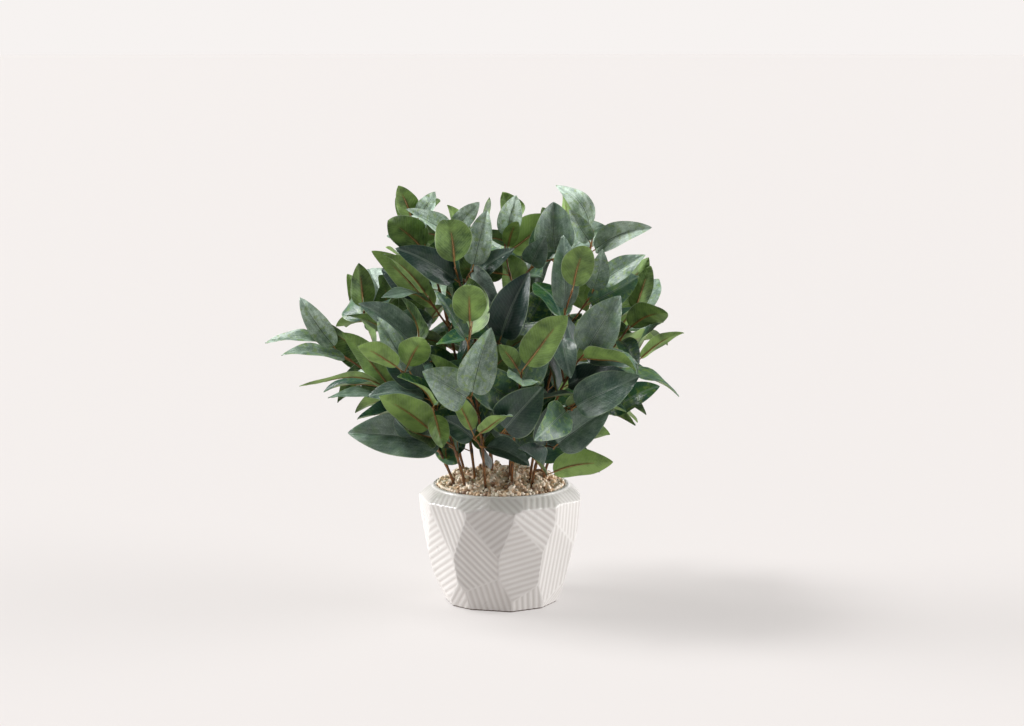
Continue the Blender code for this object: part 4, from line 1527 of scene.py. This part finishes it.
    def make(self, glaze: bpy.types.Material) -> bpy.types.Object:
        """Build the pot as one closed grid, from the middle of the underside to the middle of
        the floor inside.

        Args:
            glaze: Its finish.

        Returns:
            The piece.
        """
        turn = np.linspace(0, math.tau, self.columns, endpoint=False) - math.pi
        low = self.foot_round * (1 - np.cos(np.linspace(0.15, 1, 4) * math.pi / 2))
        shoulder = self.height - self.lip_round
        rise = np.linspace(self.foot_round, shoulder, self.wall_rows)[1:]
        height = np.concatenate((low, rise))[:, None]
        radius, groove = self.side(turn, height)
        tuck = np.clip((self.foot_round - height) / self.foot_round, 0, 1)
        radius = radius - self.foot_round * (1 - np.sqrt(1 - tuck**2))
        lip = np.linspace(0, math.pi, self.lip_rows + 2)[1:-1, None]
        middle = (radius[-1] + self.mouth_radius) / 2
        half = (radius[-1] - self.mouth_radius) / 2
        inner = np.array(((self.mouth_radius, shoulder), *self.cavity))
        under = radius[0] * np.array(self.under_rings)[:, None]
        around = 0.0 * turn
        radii = np.concatenate((under, radius, middle + half * np.cos(lip), inner[:, :1] + around))
        heights = np.concatenate((
            0.0 * under,
            height + around,
            shoulder + self.lip_round * np.sin(lip) + around,
            inner[:, 1:] + around,
        ))
        points = np.stack((radii * np.sin(turn), -radii * np.cos(turn), heights), axis=2)
        ends = np.array(((0.0, 0.0, 0.0), (0.0, 0.0, inner[-1, 1])))
        points = np.concatenate((points.reshape(-1, 3), ends)) * MM
        worn = np.zeros(len(points))
        start = under.size
        worn[start : start + groove.size] = groove.ravel()
        # Bare clay at the foot, painted dark as the contact shadow under the pot.
        most, fade = self.foot_shade_band
        foot_shade = np.clip(most - points[:, 2] / (fade * MM), 0, 1)
        work = Patchwork()
        faces = [(some, 0) for some in closed_grid(len(radii), self.columns)]
        work.add(points, faces, wear=np.stack((worn, foot_shade, 0 * worn), axis=1))
        return work.piece("fluted_pot", [glaze], Slot.GLAZE, "pot", 80)


@dataclass
class GravelBed:
    """Glued grit, mounded a little: a bed painted dark for the shade in the gaps between grains, a
    close layer of grains, and lumps on it. Lengths are in millimetres."""

    radius: float = 59.4
    mound: tuple[tuple[float, float], ...] = ((0, 118), (25, 116.5), (46, 113.5), (59.7, 111))
    tilt: tuple[float, float] = (-0.015, 0.08)
    tilt_fade: float = 16
    swell: float = 0.9
    swell_steps: tuple[float, float] = (0.17, 0.21)
    sink: float = 1.0
    bottom: float = 96.4
    bed_radius: float = 59.3
    bed_depth: float = 0.7
    # The bed's tone, low so that it shows as painted shade in the gaps between grains.
    gap_shade_tone: float = -0.2
    bed_sides: int = 72
    bed_rings: int = 19
    grain: tuple[float, float] = (1.75, 2.5)
    lump_grain: float = 0.92
    spacing: float = 4.0
    steps: int = 22
    stray: float = 0.8
    layer_rise: float = 1.8
    rim_grains: int = 104
    rim_height: tuple[float, float] = (112.2, 0.7)
    lumps: int = 17
    lump_grains: int = 20
    lump_reach: float = 50
    lump_radius: tuple[float, float] = (5.5, 8.5)
    lump_rise: tuple[float, float] = (2.6, 4.0)
    stem_room: float = 0.9
    # The shares of its radius that a grain keeps from the wall and from a stem.
    layer_inset: float = 0.8
    rim_inset: float = 0.75
    wall_inset: float = 0.7
    stem_inset: float = 0.75
    lumpiness: float = 0.06
    wave: float = 1.9
    stretch: tuple[float, float] = (0.78, 1.15)
    tones: tuple[float, float] = (0.55, 0.42)

    def top(self, x: Array, y: Array) -> Array:
        """The bed's top: the mound, raised to the back inside the rim, waved by two sines.

        Args:
            x: Places to the right.
            y: Places to the back.

        Returns:
            The heights.
        """
        away = np.hypot(x, y)
        radii, heights = zip(*self.mound, strict=True)
        step_x, step_y = self.swell_steps
        swell = np.sin(x * step_x + 1.0) * np.sin(y * step_y + 0.4) * self.swell - self.sink
        raised = self.tilt[0] * x + self.tilt[1] * np.maximum(y, 0)
        inside = np.clip((self.radius + 2.5 - away) / self.tilt_fade, 0, 1)
        return np.interp(away, radii, heights) + raised * inside + swell

    def places(self, rng: np.random.Generator) -> tuple[Array, Array]:
        """Where the grains lie: in a layer on a staggered grid, in lumps, and along the rim.

        Args:
            rng: The piece's random numbers.

        Returns:
            The centres, and the radii.
        """
        steps = np.arange(-self.steps, self.steps + 1)
        row, column = np.meshgrid(steps, steps, indexing="ij")
        x = (column + 0.5 * (row % 2)).ravel() * self.spacing
        y = row.ravel() * self.spacing * math.sqrt(0.75)
        x = x + rng.uniform(-self.stray, self.stray, x.shape)
        y = y + rng.uniform(-self.stray, self.stray, y.shape)
        size = rng.uniform(*self.grain, x.shape)
        keep = np.hypot(x, y) < self.radius - size * self.layer_inset
        z = self.top(x, y) + rng.uniform(0.0, self.layer_rise, x.shape)
        layer = np.stack((x, y, z), axis=1)[keep]

        turn = math.tau * np.arange(self.rim_grains) / self.rim_grains
        rim_size = rng.uniform(*self.grain, self.rim_grains)
        away = self.radius - rim_size * self.rim_inset
        level, vary = self.rim_height
        rim_z = level + rng.uniform(-vary, vary, turn.shape)
        rim = np.stack((away * np.cos(turn), away * np.sin(turn), rim_z), axis=1)

        number = np.arange(self.lumps)[:, None]
        away = self.lump_reach * np.sqrt((number + 0.5) / self.lumps)
        spin = math.tau * GOLDEN * number
        part = rng.uniform(0, 1, (self.lumps, self.lump_grains))
        whirl = rng.uniform(0, math.tau, part.shape)
        wide = rng.uniform(*self.lump_radius, (self.lumps, 1))
        x = away * np.cos(spin) + wide * np.sqrt(part) * np.cos(whirl)
        y = away * np.sin(spin) + wide * np.sqrt(part) * np.sin(whirl)
        low, high = self.lump_rise
        z = self.top(x, y) + (low + high * np.sqrt(1 - part))
        lump = np.stack((x, y, z), axis=2).reshape(-1, 3)
        lump_size = rng.uniform(*self.grain, len(lump)) * self.lump_grain

        centres = np.concatenate((layer, lump, rim))
        sizes = np.concatenate((size[keep], lump_size, rim_size))
        inside = np.hypot(*centres[:, :2].T) < self.radius - sizes * self.wall_inset
        for stem in STEMS:
            clear = np.hypot(*(centres[:, :2] - stem.root).T)
            inside &= clear > self.stem_room + sizes * self.stem_inset
        return centres[inside], sizes[inside]

    @staticmethod
    def ball() -> tuple[Array, Array]:
        """A ball of 24 quads, which is a cube cut once each way.

        Returns:
            Its points, at a distance of one, and its faces.
        """
        shape = bmesh.new()
        bmesh.ops.create_cube(shape, size=2.0)
        bmesh.ops.subdivide_edges(shape, edges=shape.edges[:], cuts=1, use_grid_fill=True)
        shape.verts.index_update()
        points = unit(np.array([vertex.co for vertex in shape.verts]))
        faces = np.array([[vertex.index for vertex in face.verts] for face in shape.faces])
        shape.free()
        return points, faces

    def add_grains(self, work: Patchwork) -> int:
        """Add the grains.

        Args:
            work: The piece that they are added to.

        Returns:
            How many there are. A grain is the ball times 1 + the sum of three sines of its
            direction, stretched, turned at random, and put in its place.
        """
        rng = np.random.default_rng(Stream.PEBBLES.value)
        centres, sizes = self.places(rng)
        ball, faces = self.ball()
        count = len(centres)
        waves = rng.normal(0, self.wave, (count, 3, 3))
        phase = rng.uniform(0, math.tau, (count, 3, 1))
        lumpy = 1 + self.lumpiness * np.sin(waves @ ball.T + phase).sum(axis=1)
        stretch = rng.uniform(*self.stretch, (count, 1, 3))
        turns = np.linalg.qr(rng.normal(size=(count, 3, 3)))[0]
        turns = turns * np.sign(np.linalg.det(turns))[:, None, None]
        grains = ball * lumpy[:, :, None] * stretch * sizes[:, None, None]
        grains = grains @ turns.transpose(0, 2, 1) + centres[:, None]
        shift = np.arange(count)[:, None, None] * len(ball)
        tone = np.repeat(rng.beta(*self.tones, count), len(ball))
        work.add(grains.reshape(-1, 3) * MM, [((faces + shift).reshape(-1, 4), 0)], tone=tone)
        return count

    def add_bed(self, work: Patchwork) -> None:
        """Add the bed that the grains lie in: a dome on a straight wall and a flat underside.

        Args:
            work: The piece that it is added to.
        """
        turn = np.linspace(0, math.tau, self.bed_sides, endpoint=False)
        share = np.linspace(0, 1, self.bed_rings + 1)[1:, None]
        x = self.bed_radius * share * np.cos(turn)
        y = self.bed_radius * share * np.sin(turn)
        dome = np.stack((x, y, self.top(x, y) - self.bed_depth), axis=2)
        base = dome[-1:] * (1, 1, 0) + (0, 0, self.bottom)
        centre = float(self.top(np.zeros(1), np.zeros(1))[0])
        hubs = ((0.0, 0.0, centre), (0.0, 0.0, self.bottom))
        points = np.concatenate((dome.reshape(-1, 3), base.reshape(-1, 3), hubs))
        faces = [(some, 0) for some in closed_grid(len(dome) + 1, self.bed_sides, False)]
        work.add(points * MM, faces, tone=np.full(len(points), self.gap_shade_tone))

    def make(self, grit: bpy.types.Material) -> bpy.types.Object:
        """Build the bed and its grains as one piece.

        Args:
            grit: Its finish.

        Returns:
            The piece.
        """
        work = Patchwork()
        count = self.add_grains(work)
        self.add_bed(work)
        LOG.info("river_gravel: %d grains", count)
        return work.piece("river_gravel", [grit], Slot.GRAVEL, "gravel_bed", 75)


@dataclass
class Cloth:
    """How a leaf is cut and shaped from coated cloth, with a plastic rib on its underside."""

    rows: int = 20
    half_columns: int = 4
    thickness: float = 0.5 * MM
    rim_thinning: float = 0.65
    sweep: float = 0.12
    buckle: float = 0.03
    tip_fall: float = 0.035
    droop: float = 0.6
    twist: float = 0.5
    twist_start: float = 0.25
    fold: tuple[float, float] = (1.6, 1.1)
    ripple: float = 0.10
    ripples: float = 1.6
    pucker: float = 0.5 * MM
    pucker_step: float = 11.0 * MM
    print_spread: float = 400
    rib_radius: float = 0.62 * MM
    rib_thinning: float = 0.8
    rib_reach: float = 0.68
    rib_settling: float = 0.04
    rib_sink: float = 0.35
    rib_rows: int = 11
    rib_sides: int = 5
    middle: Array = field(default_factory=lambda: np.array((0, 0, 230)) * MM)
    spread: Array = field(default_factory=lambda: np.array((175, 160, 160)) * MM)
    tones: tuple[float, float] = (0.02, 0.98)
    # The bloom is made paler, as painted light, on leaves that lie far out, high up and facing the
    # sky.
    dust_and_light_start: float = 0.65
    dust_and_light_width: float = 0.4
    dust_and_light_low: float = 60 * MM
    dust_and_light_rise: float = 110 * MM
    dust_and_light_least: float = 0.25
    sky_facing_light: float = 0.45
    outer_dust_and_light: float = 0.85
    chance: float = 0.6
    chances: tuple[float, float] = (0.6, 1.6)
    faintest: float = 0.02

    def sway(self, q: Array, side: Array, normal: Array, sweep: float, wave: float) -> Array:
        """How far a blade's centre line leaves its curve, as a share of the leaf's length.

        Args:
            q: The share of the blade's length.
            side: The direction across the blade.
            normal: The direction off its top side.
            sweep: How strongly it curves sideways, from -1 to 1.
            wave: How strongly it bends up and down.

        Returns:
            side q (1 - q) sweep, normal sin(2 pi q) wave and a fall of the tip by q cubed, each
            times a small number.
        """
        fall = q**3 * (wave + self.droop) * self.tip_fall
        off = np.sin(math.tau * q) * wave * self.buckle - fall
        return side * q * (1 - q) * sweep * self.sweep + normal * off

    def habit(self, leaf: Placed, rng: np.random.Generator) -> tuple[float, float]:
        """A leaf's tone, and how pale its bloom is from 0 to 1, which is dust and painted light.

        Args:
            leaf: The leaf in its place.
            rng: The piece's random numbers.

        Returns:
            The leaf's tint for both where it has one. Otherwise a tone by chance, and a bloom that
            is stronger by chance, as dust, and on leaves far out, high up and facing the sky, as
            painted light.
        """
        tone = rng.uniform(*self.tones)
        centre = leaf.at(0.6)[0] - self.middle
        away = np.linalg.norm(centre / self.spread) - self.dust_and_light_start
        outer = np.clip(away / self.dust_and_light_width, 0, 1)
        high = np.clip((centre[2] + self.dust_and_light_low) / self.dust_and_light_rise, self.dust_and_light_least, 1)
        facing = 1 - self.sky_facing_light + self.sky_facing_light * max(0.0, leaf.normal[2])
        chance = self.chance * rng.beta(*self.chances)
        bloom_and_light = np.clip(self.faintest + chance + self.outer_dust_and_light * outer * high * facing, 0, 1)
        return (tone, bloom_and_light) if leaf.tint is None else (leaf.tint, leaf.tint)

    def blade_faces(self, around: int) -> list[tuple[Array, int]]:
        """The faces of a blade, each with its finish: 0 on the top sheet and 1 underneath.

        Args:
            around: How many points a row has, over the top sheet and back underneath.

        Returns:
            The faces. Both sheets are cut along the same diagonals, so that they never cross.
        """
        quads, near, far = closed_grid(self.rows, around, False)
        over = np.arange(around) < 2 * self.half_columns
        upper = np.tile(over, self.rows - 1)
        ahead = quads[upper]
        back = quads[~upper]
        return [
            (ahead[:, 1:], 0), (ahead[:, (0, 1, 3)], 0), (near[over], 0), (far[over], 0),
            (back[:, (0, 2, 3)], 1), (back[:, :3], 1), (near[~over], 1), (far[~over], 1),
        ]

    def blade(self, leaf: Placed, rng: np.random.Generator, work: Patchwork) -> None:
        """Add a leaf's blade, two sheets that meet at the rim, the base and the tip, and its rib.

        Args:
            leaf: The leaf in its place.
            rng: The piece's random numbers.
            work: The piece that it is added to.

        The sheets are centre + side x + normal (cup + wave + pucker), where x runs across the
        blade's half width, cup = fold |x| with each half bulged, wave is a slow sine along the
        edge that grows with the square of the share across, and pucker a sine of the slant that
        is strongest halfway to the edge.
        """
        q = (0.5 - 0.5 * np.cos(np.linspace(0, math.pi, self.rows + 2)))[1:-1, None]
        point, _, side, normal = leaf.at(leaf.petiole + (1 - leaf.petiole) * q)
        sweep, twist, wave, phase, seed = rng.uniform(-1, 1, 5)
        sweep = leaf.hook or sweep
        point = point + self.sway(q, side, normal, sweep, wave) * leaf.length
        roll = twist * self.twist * (q - self.twist_start)
        side, normal = (
            side * np.cos(roll) + normal * np.sin(roll),
            normal * np.cos(roll) - side * np.sin(roll),
        )
        s = np.linspace(-1, 1, 2 * self.half_columns + 1)[None, :]
        half = blade_half_width(q, leaf.width, leaf.is_round)
        across = half * s
        least, more = self.fold
        fold = leaf.FOLD * (least + more * np.clip(sweep, -1, 1))
        bulge = 0.5 + 0.5 * phase
        cup = fold * half * ((1 - bulge) * np.abs(s) ** 1.2 + bulge * np.abs(s) * (2 - np.abs(s)))
        ripple = np.sin(math.tau * (self.ripples * q + phase) + s * 1.2)
        ripple = half * self.ripple * s**2 * ripple
        slant = (q * leaf.length - VEIN_SLOPE * np.abs(across)) / self.pucker_step
        pucker = np.sin(slant * math.tau + 9.0 * phase) * np.sin(math.pi * s) ** 2
        lift = cup + ripple + self.pucker * pucker
        thin = self.thickness / 2 * (1 - self.rim_thinning * s**4)
        over, under = (
            point[:, None] + side[:, None] * across[:, :, None] + z[:, :, None] * normal[:, None]
            for z in (lift + thin, lift - thin)
        )
        sheets = np.concatenate((over, under[:, -2:0:-1]), axis=1)
        rows, around, _ = sheets.shape
        base = leaf.at(leaf.petiole)[0]
        end, _, aside, up = leaf.at(1.0)
        end = end + self.sway(1.0, aside, up, sweep, wave) * leaf.length
        points = np.concatenate((sheets.reshape(-1, 3), (base, end)))

        def spread(values: Array, first: float, last: float) -> Array:
            """Carry values from the top sheet to every point.

            Args:
                values: A value for each point of the top sheet, or one for each row.
                first: The value at the base.
                last: The value at the tip.

            Returns:
                A value for each point.
            """
            grid = np.broadcast_to(values, (rows, values.shape[1]))
            if values.shape[1] > 1:
                grid = np.concatenate((grid, grid[:, -2:0:-1]), axis=1)
            return np.concatenate((np.broadcast_to(grid, (rows, around)).ravel(), (first, last)))

        flat = np.ones(len(points))
        along = spread(q * leaf.length, 0.0, leaf.length) / MM
        sheet = self.print_spread * seed * flat
        place = np.stack((spread(across, 0.0, 0.0) / MM, along, sheet), axis=1)
        tone, bloom_and_light = self.habit(leaf, rng)
        habit = np.stack((spread(s, 0.0, 0.0), tone * flat, bloom_and_light * flat), axis=1)
        reach = spread(q, 0.0, 1.0)
        work.add(points, self.blade_faces(around), blade=place, habit=habit, reach=reach)
        self.rib(leaf, sweep, wave, work)

    def rib(self, leaf: Placed, sweep: float, wave: float, work: Patchwork) -> None:
        """Add the rib that runs from the twig along the blade's underside, and thins out.

        Args:
            leaf: The leaf in its place.
            sweep: How strongly the blade curves sideways.
            wave: How strongly it bends up and down.
            work: The piece that it is added to.
        """
        u = np.linspace(0, 1, self.rib_rows)[:, None]
        run = u * (leaf.petiole + (1 - leaf.petiole) * self.rib_reach)
        line, _, aside, up = leaf.at(run)
        share = np.clip((run - leaf.petiole) / (1 - leaf.petiole), 0, 1)
        line = line + self.sway(share, aside, up, sweep, wave) * leaf.length
        blend = np.clip(share / self.rib_settling, 0, 1)
        radius = self.rib_radius * (1 - self.rib_thinning * u**1.2)
        line = line - up * (self.thickness / 2 + radius * self.rib_sink) * blend
        work.add_tube(line, radius.ravel(), self.rib_sides, 2)


@dataclass
class Foliage:
    """The stems and sprigs: each a coated wire with its leaves, as one piece."""

    growth: Growth
    cloth: Cloth
    sides: int = 10
    spans: int = 40
    knot: float = 0.35
    knot_length: float = 0.02
    stem_taper: float = 0.8
    twig_taper: tuple[float, float] = (1.1, 0.75)
    socket: float = 0.3
    near: float = 1.0 * MM

    def add_wire(
        self, path: Array, start: float, end: float, work: Patchwork, knots: Array
    ) -> None:
        """Add a coated wire that follows the quadratic curve through a path's two ends.

        Args:
            path: The layout's path, from which the curve is found.
            start: The radius where it starts.
            end: The radius where it ends.
            work: The piece that it is added to.
            knots: Shares of its length where a leaf leaves it and the coat thickens.
        """
        line = bend(path[0], self.control_of(path), path[-1], self.spans)
        share = np.linspace(0, 1, self.spans + 1)
        swell = ((share[:, None] - knots[None, :]) / self.knot_length) ** 2
        swell = np.clip(np.exp(-swell).sum(axis=1), 0, 1)
        radii = (start + (end - start) * share) * (1 + self.knot * swell)
        work.add_tube(line, radii, self.sides, 3)

    @staticmethod
    def control_of(path: Array) -> Array:
        """The point that a path of evenly stepped points on a quadratic curve bends towards."""
        return 2 * path[len(path) // 2] - (path[0] + path[-1]) / 2

    @staticmethod
    def knots_of(path: Array, leaves: list[Placed]) -> Array:
        """Where leaves leave a wire.

        Args:
            path: The wire's path.
            leaves: Its leaves.

        Returns:
            The share of the length nearest to each leaf's start, or one past the end for none.
        """
        if not leaves:
            return np.array((2.0,))
        starts = np.array([leaf.start for leaf in leaves])
        gaps = np.linalg.norm(starts[:, None] - path[None], axis=2)
        return np.argmin(gaps, axis=1) / (len(path) - 1)

    def piece(
        self,
        node: str,
        path: Array,
        radii: tuple[float, float],
        leaves: list[Placed],
        finishes: list[bpy.types.Material],
        slot: Slot,
        below: Array | None = None,
    ) -> bpy.types.Object:
        """Build a stem or a sprig.

        Args:
            node: The CAD node that it stands for.
            path: Its wire's path.
            radii: The wire's radius at its start and its end.
            leaves: Its leaves.
            finishes: Leaf top, leaf underside, rib and coat.
            slot: The record's material slot.
            below: The foot of a stem, in the foam.

        Returns:
            The piece.
        """
        rng = np.random.default_rng((Stream.LEAVES.value, *node.encode()))
        work = Patchwork()
        self.add_wire(path, *radii, work, self.knots_of(path, leaves))
        if below is not None:
            buried = np.linspace(0, 1, 8)[:, None] * (path[0] - below) + below
            work.add_tube(buried, np.full(len(buried), radii[0]), self.sides, 3)
        for leaf in leaves:
            self.cloth.blade(leaf, rng, work)
        return work.piece(f"{node}_leafy", finishes, slot, node)

    def make(self, nodes: dict[str, bpy.types.Object], finishes: list[bpy.types.Material]) -> None:
        """Build every stem and sprig, and compare their leaves with the solids.

        Args:
            nodes: The CAD nodes.
            finishes: Leaf top, leaf underside, rib and coat.
        """
        growth = self.growth
        stems, twigs, leaves = growth.lay_out()
        radii = (growth.stem_radius, growth.stem_radius * self.stem_taper)
        for i, (rise, path) in enumerate(stems):
            node = growth.stem_name(i)
            depth = (growth.root_height - growth.foot_height) * MM / rise[2]
            foot = path[0] - rise * depth
            self.piece(node, path, radii, leaves[node], finishes, Slot.BARK, foot)
        thick, thin = self.twig_taper
        radii = (growth.twig_radius * thick, growth.twig_radius * thin)
        for sprig, path in zip(SPRIGS, twigs, strict=True):
            centre, _ = point_on(stems[sprig.stem][1], sprig.along)
            start = centre + (path[0] - centre) * self.socket
            joined = bend(start, self.control_of(path), path[-1], 8)
            self.piece(sprig.name, joined, radii, leaves[sprig.name], finishes, Slot.LEAF)
        for name, found in leaves.items():
            self.compare(name, found, nodes[name])

    def compare(self, name: str, leaves: list[Placed], node: bpy.types.Object) -> None:
        """Log how far the leaves' tips are from their solid's nearest corners.

        Args:
            name: The CAD node's name.
            leaves: The leaves on it.
            node: The CAD node.
        """
        corners = np.empty(len(node.data.vertices) * 3, np.float32)
        node.data.vertices.foreach_get("co", corners)
        corners = corners.reshape(-1, 3)
        tips = np.array([leaf.tip for leaf in leaves])
        worst = np.linalg.norm(tips[:, None] - corners[None], axis=2).min(axis=1).max()
        level = logging.WARNING if worst > self.near else logging.DEBUG
        LOG.log(level, "%s: a leaf's tip is %.2f mm from its solid", name, worst / MM)


@dataclass(frozen=True)
class SoftBox:
    """A far soft light: the way from the plant to it, its power, and its width in degrees as the
    plant sees it."""

    name: str
    way: tuple[float, float, float]
    power: float
    width: float

    def add(self) -> None:
        """Shine it evenly over the whole floor."""
        lamp = bpy.data.lights.new(self.name, "SUN")
        lamp.energy = self.power
        lamp.angle = math.radians(self.width)
        box = bpy.data.objects.new(self.name, lamp)
        box.location = self.way
        box.rotation_euler = Vector(self.way).to_track_quat("Z", "Y").to_euler()
        bpy.context.scene.collection.objects.link(box)


@dataclass
class Studio:
    """A pale floor that runs to the horizon, wide soft lights and a camera in front."""

    floor_radius: float = 40.0
    camera_place: tuple[float, float, float] = (0.0105, -2.0, 0.535)
    camera_dip: float = 8.8
    lens: float = 76.6
    sensor: float = 36.0
    lamps: tuple[SoftBox, ...] = (
        SoftBox("left", (-0.93, 0.2, 0.4), 3.45, 30),
        SoftBox("right", (0.93, 0.02, 0.34), 3.6, 50),
        SoftBox("top", (-0.54, 0.12, 0.83), 3.15, 20),
    )
    sky: str = "#fbf7f5"
    # How bright the sky is behind and in front, and between the horizon and overhead.
    band: tuple[float, float] = (0.24, 0.962)
    dome: tuple[float, float] = (0.06, 0.15)
    # The depths and the heights over which one part of the sky fades into the next.
    band_depths: tuple[float, float] = (-0.3, 0.6)
    band_heights: tuple[float, float] = (0.06, 0.26)
    dome_heights: tuple[float, float] = (0.1, 0.95)

    def add_floor(self, opal: bpy.types.Material) -> None:
        """Lay the floor, a wide disc just under the pot.

        Args:
            opal: Its finish.
        """
        turn = np.linspace(0, math.tau, 96, endpoint=False)
        ring = np.stack((np.cos(turn), np.sin(turn), 0 * turn), axis=1) * self.floor_radius
        mesh = bpy.data.meshes.new("studio_floor")
        mesh.from_pydata(ring.tolist(), [], [tuple(range(len(ring)))])
        mesh.materials.append(opal)
        floor = bpy.data.objects.new("studio_floor", mesh)
        bpy.context.scene.collection.objects.link(floor)

    def add_sky(self) -> None:
        """Light the room: a pale band low behind, dim in front, and bright overhead."""
        world = bpy.data.worlds.new("studio")
        world.use_nodes = True
        bpy.context.scene.world = world
        w = Nodes(world.node_tree)
        _, depth, height = w.add("SeparateXYZ", w.add("TexCoord")).node.outputs
        band = w.add("MapRange", depth, *self.band_depths, *self.band, **SMOOTH)
        rise = w.add("MapRange", height, *self.band_heights, 1.0, 0.0, **SMOOTH)
        low = w.add("Math", band, rise, **TIMES)
        high = w.add("MapRange", height, *self.dome_heights, *self.dome, **SMOOTH)
        shown = w.add("Math", rise, -1.0, 1.0, **SCALED)
        level = w.add("Math", high, shown, low, **SCALED)
        w.fill(w.tree.nodes["Background"], {"Color": self.sky, "Strength": level})

    def add_camera(self) -> None:
        """Stand the camera in front, a little above the leaves."""
        data = bpy.data.cameras.new("front")
        data.lens = self.lens
        data.sensor_width = self.sensor
        camera = bpy.data.objects.new("front", data)
        camera.location = self.camera_place
        camera.rotation_euler = (math.radians(90 - self.camera_dip), 0.0, 0.0)
        bpy.context.scene.collection.objects.link(camera)
        bpy.context.scene.camera = camera

    def make(self) -> None:
        """Set up the studio."""
        self.add_floor(OpalTable().make())
        self.add_sky()
        for lamp in self.lamps:
            lamp.add()
        self.add_camera()
        bpy.context.scene.view_settings.view_transform = "Standard"


def main() -> None:
    """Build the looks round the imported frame."""
    logging.basicConfig(level=logging.INFO, format="%(name)s: %(message)s")
    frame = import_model()
    nodes = frame["nodes"]
    Pot().make(IvoryGlaze().make())
    GravelBed().make(RiverGrit().make())
    nodes["foam_block"].material_slots[0].material = DryFoam().make()
    finishes = [
        LeafTop().make(),
        LeafUnder().make(),
        CoatedWire("leaf rib plastic", "#6b4520", "#b08548").make(),
        CoatedWire("stem coat plastic", "#2e1a10", "#94622f").make(),
    ]
    Foliage(Growth(), Cloth()).make(nodes, finishes)
    Studio().make()
    bpy.context.view_layer.update()


if __name__ == "__main__":
    main()
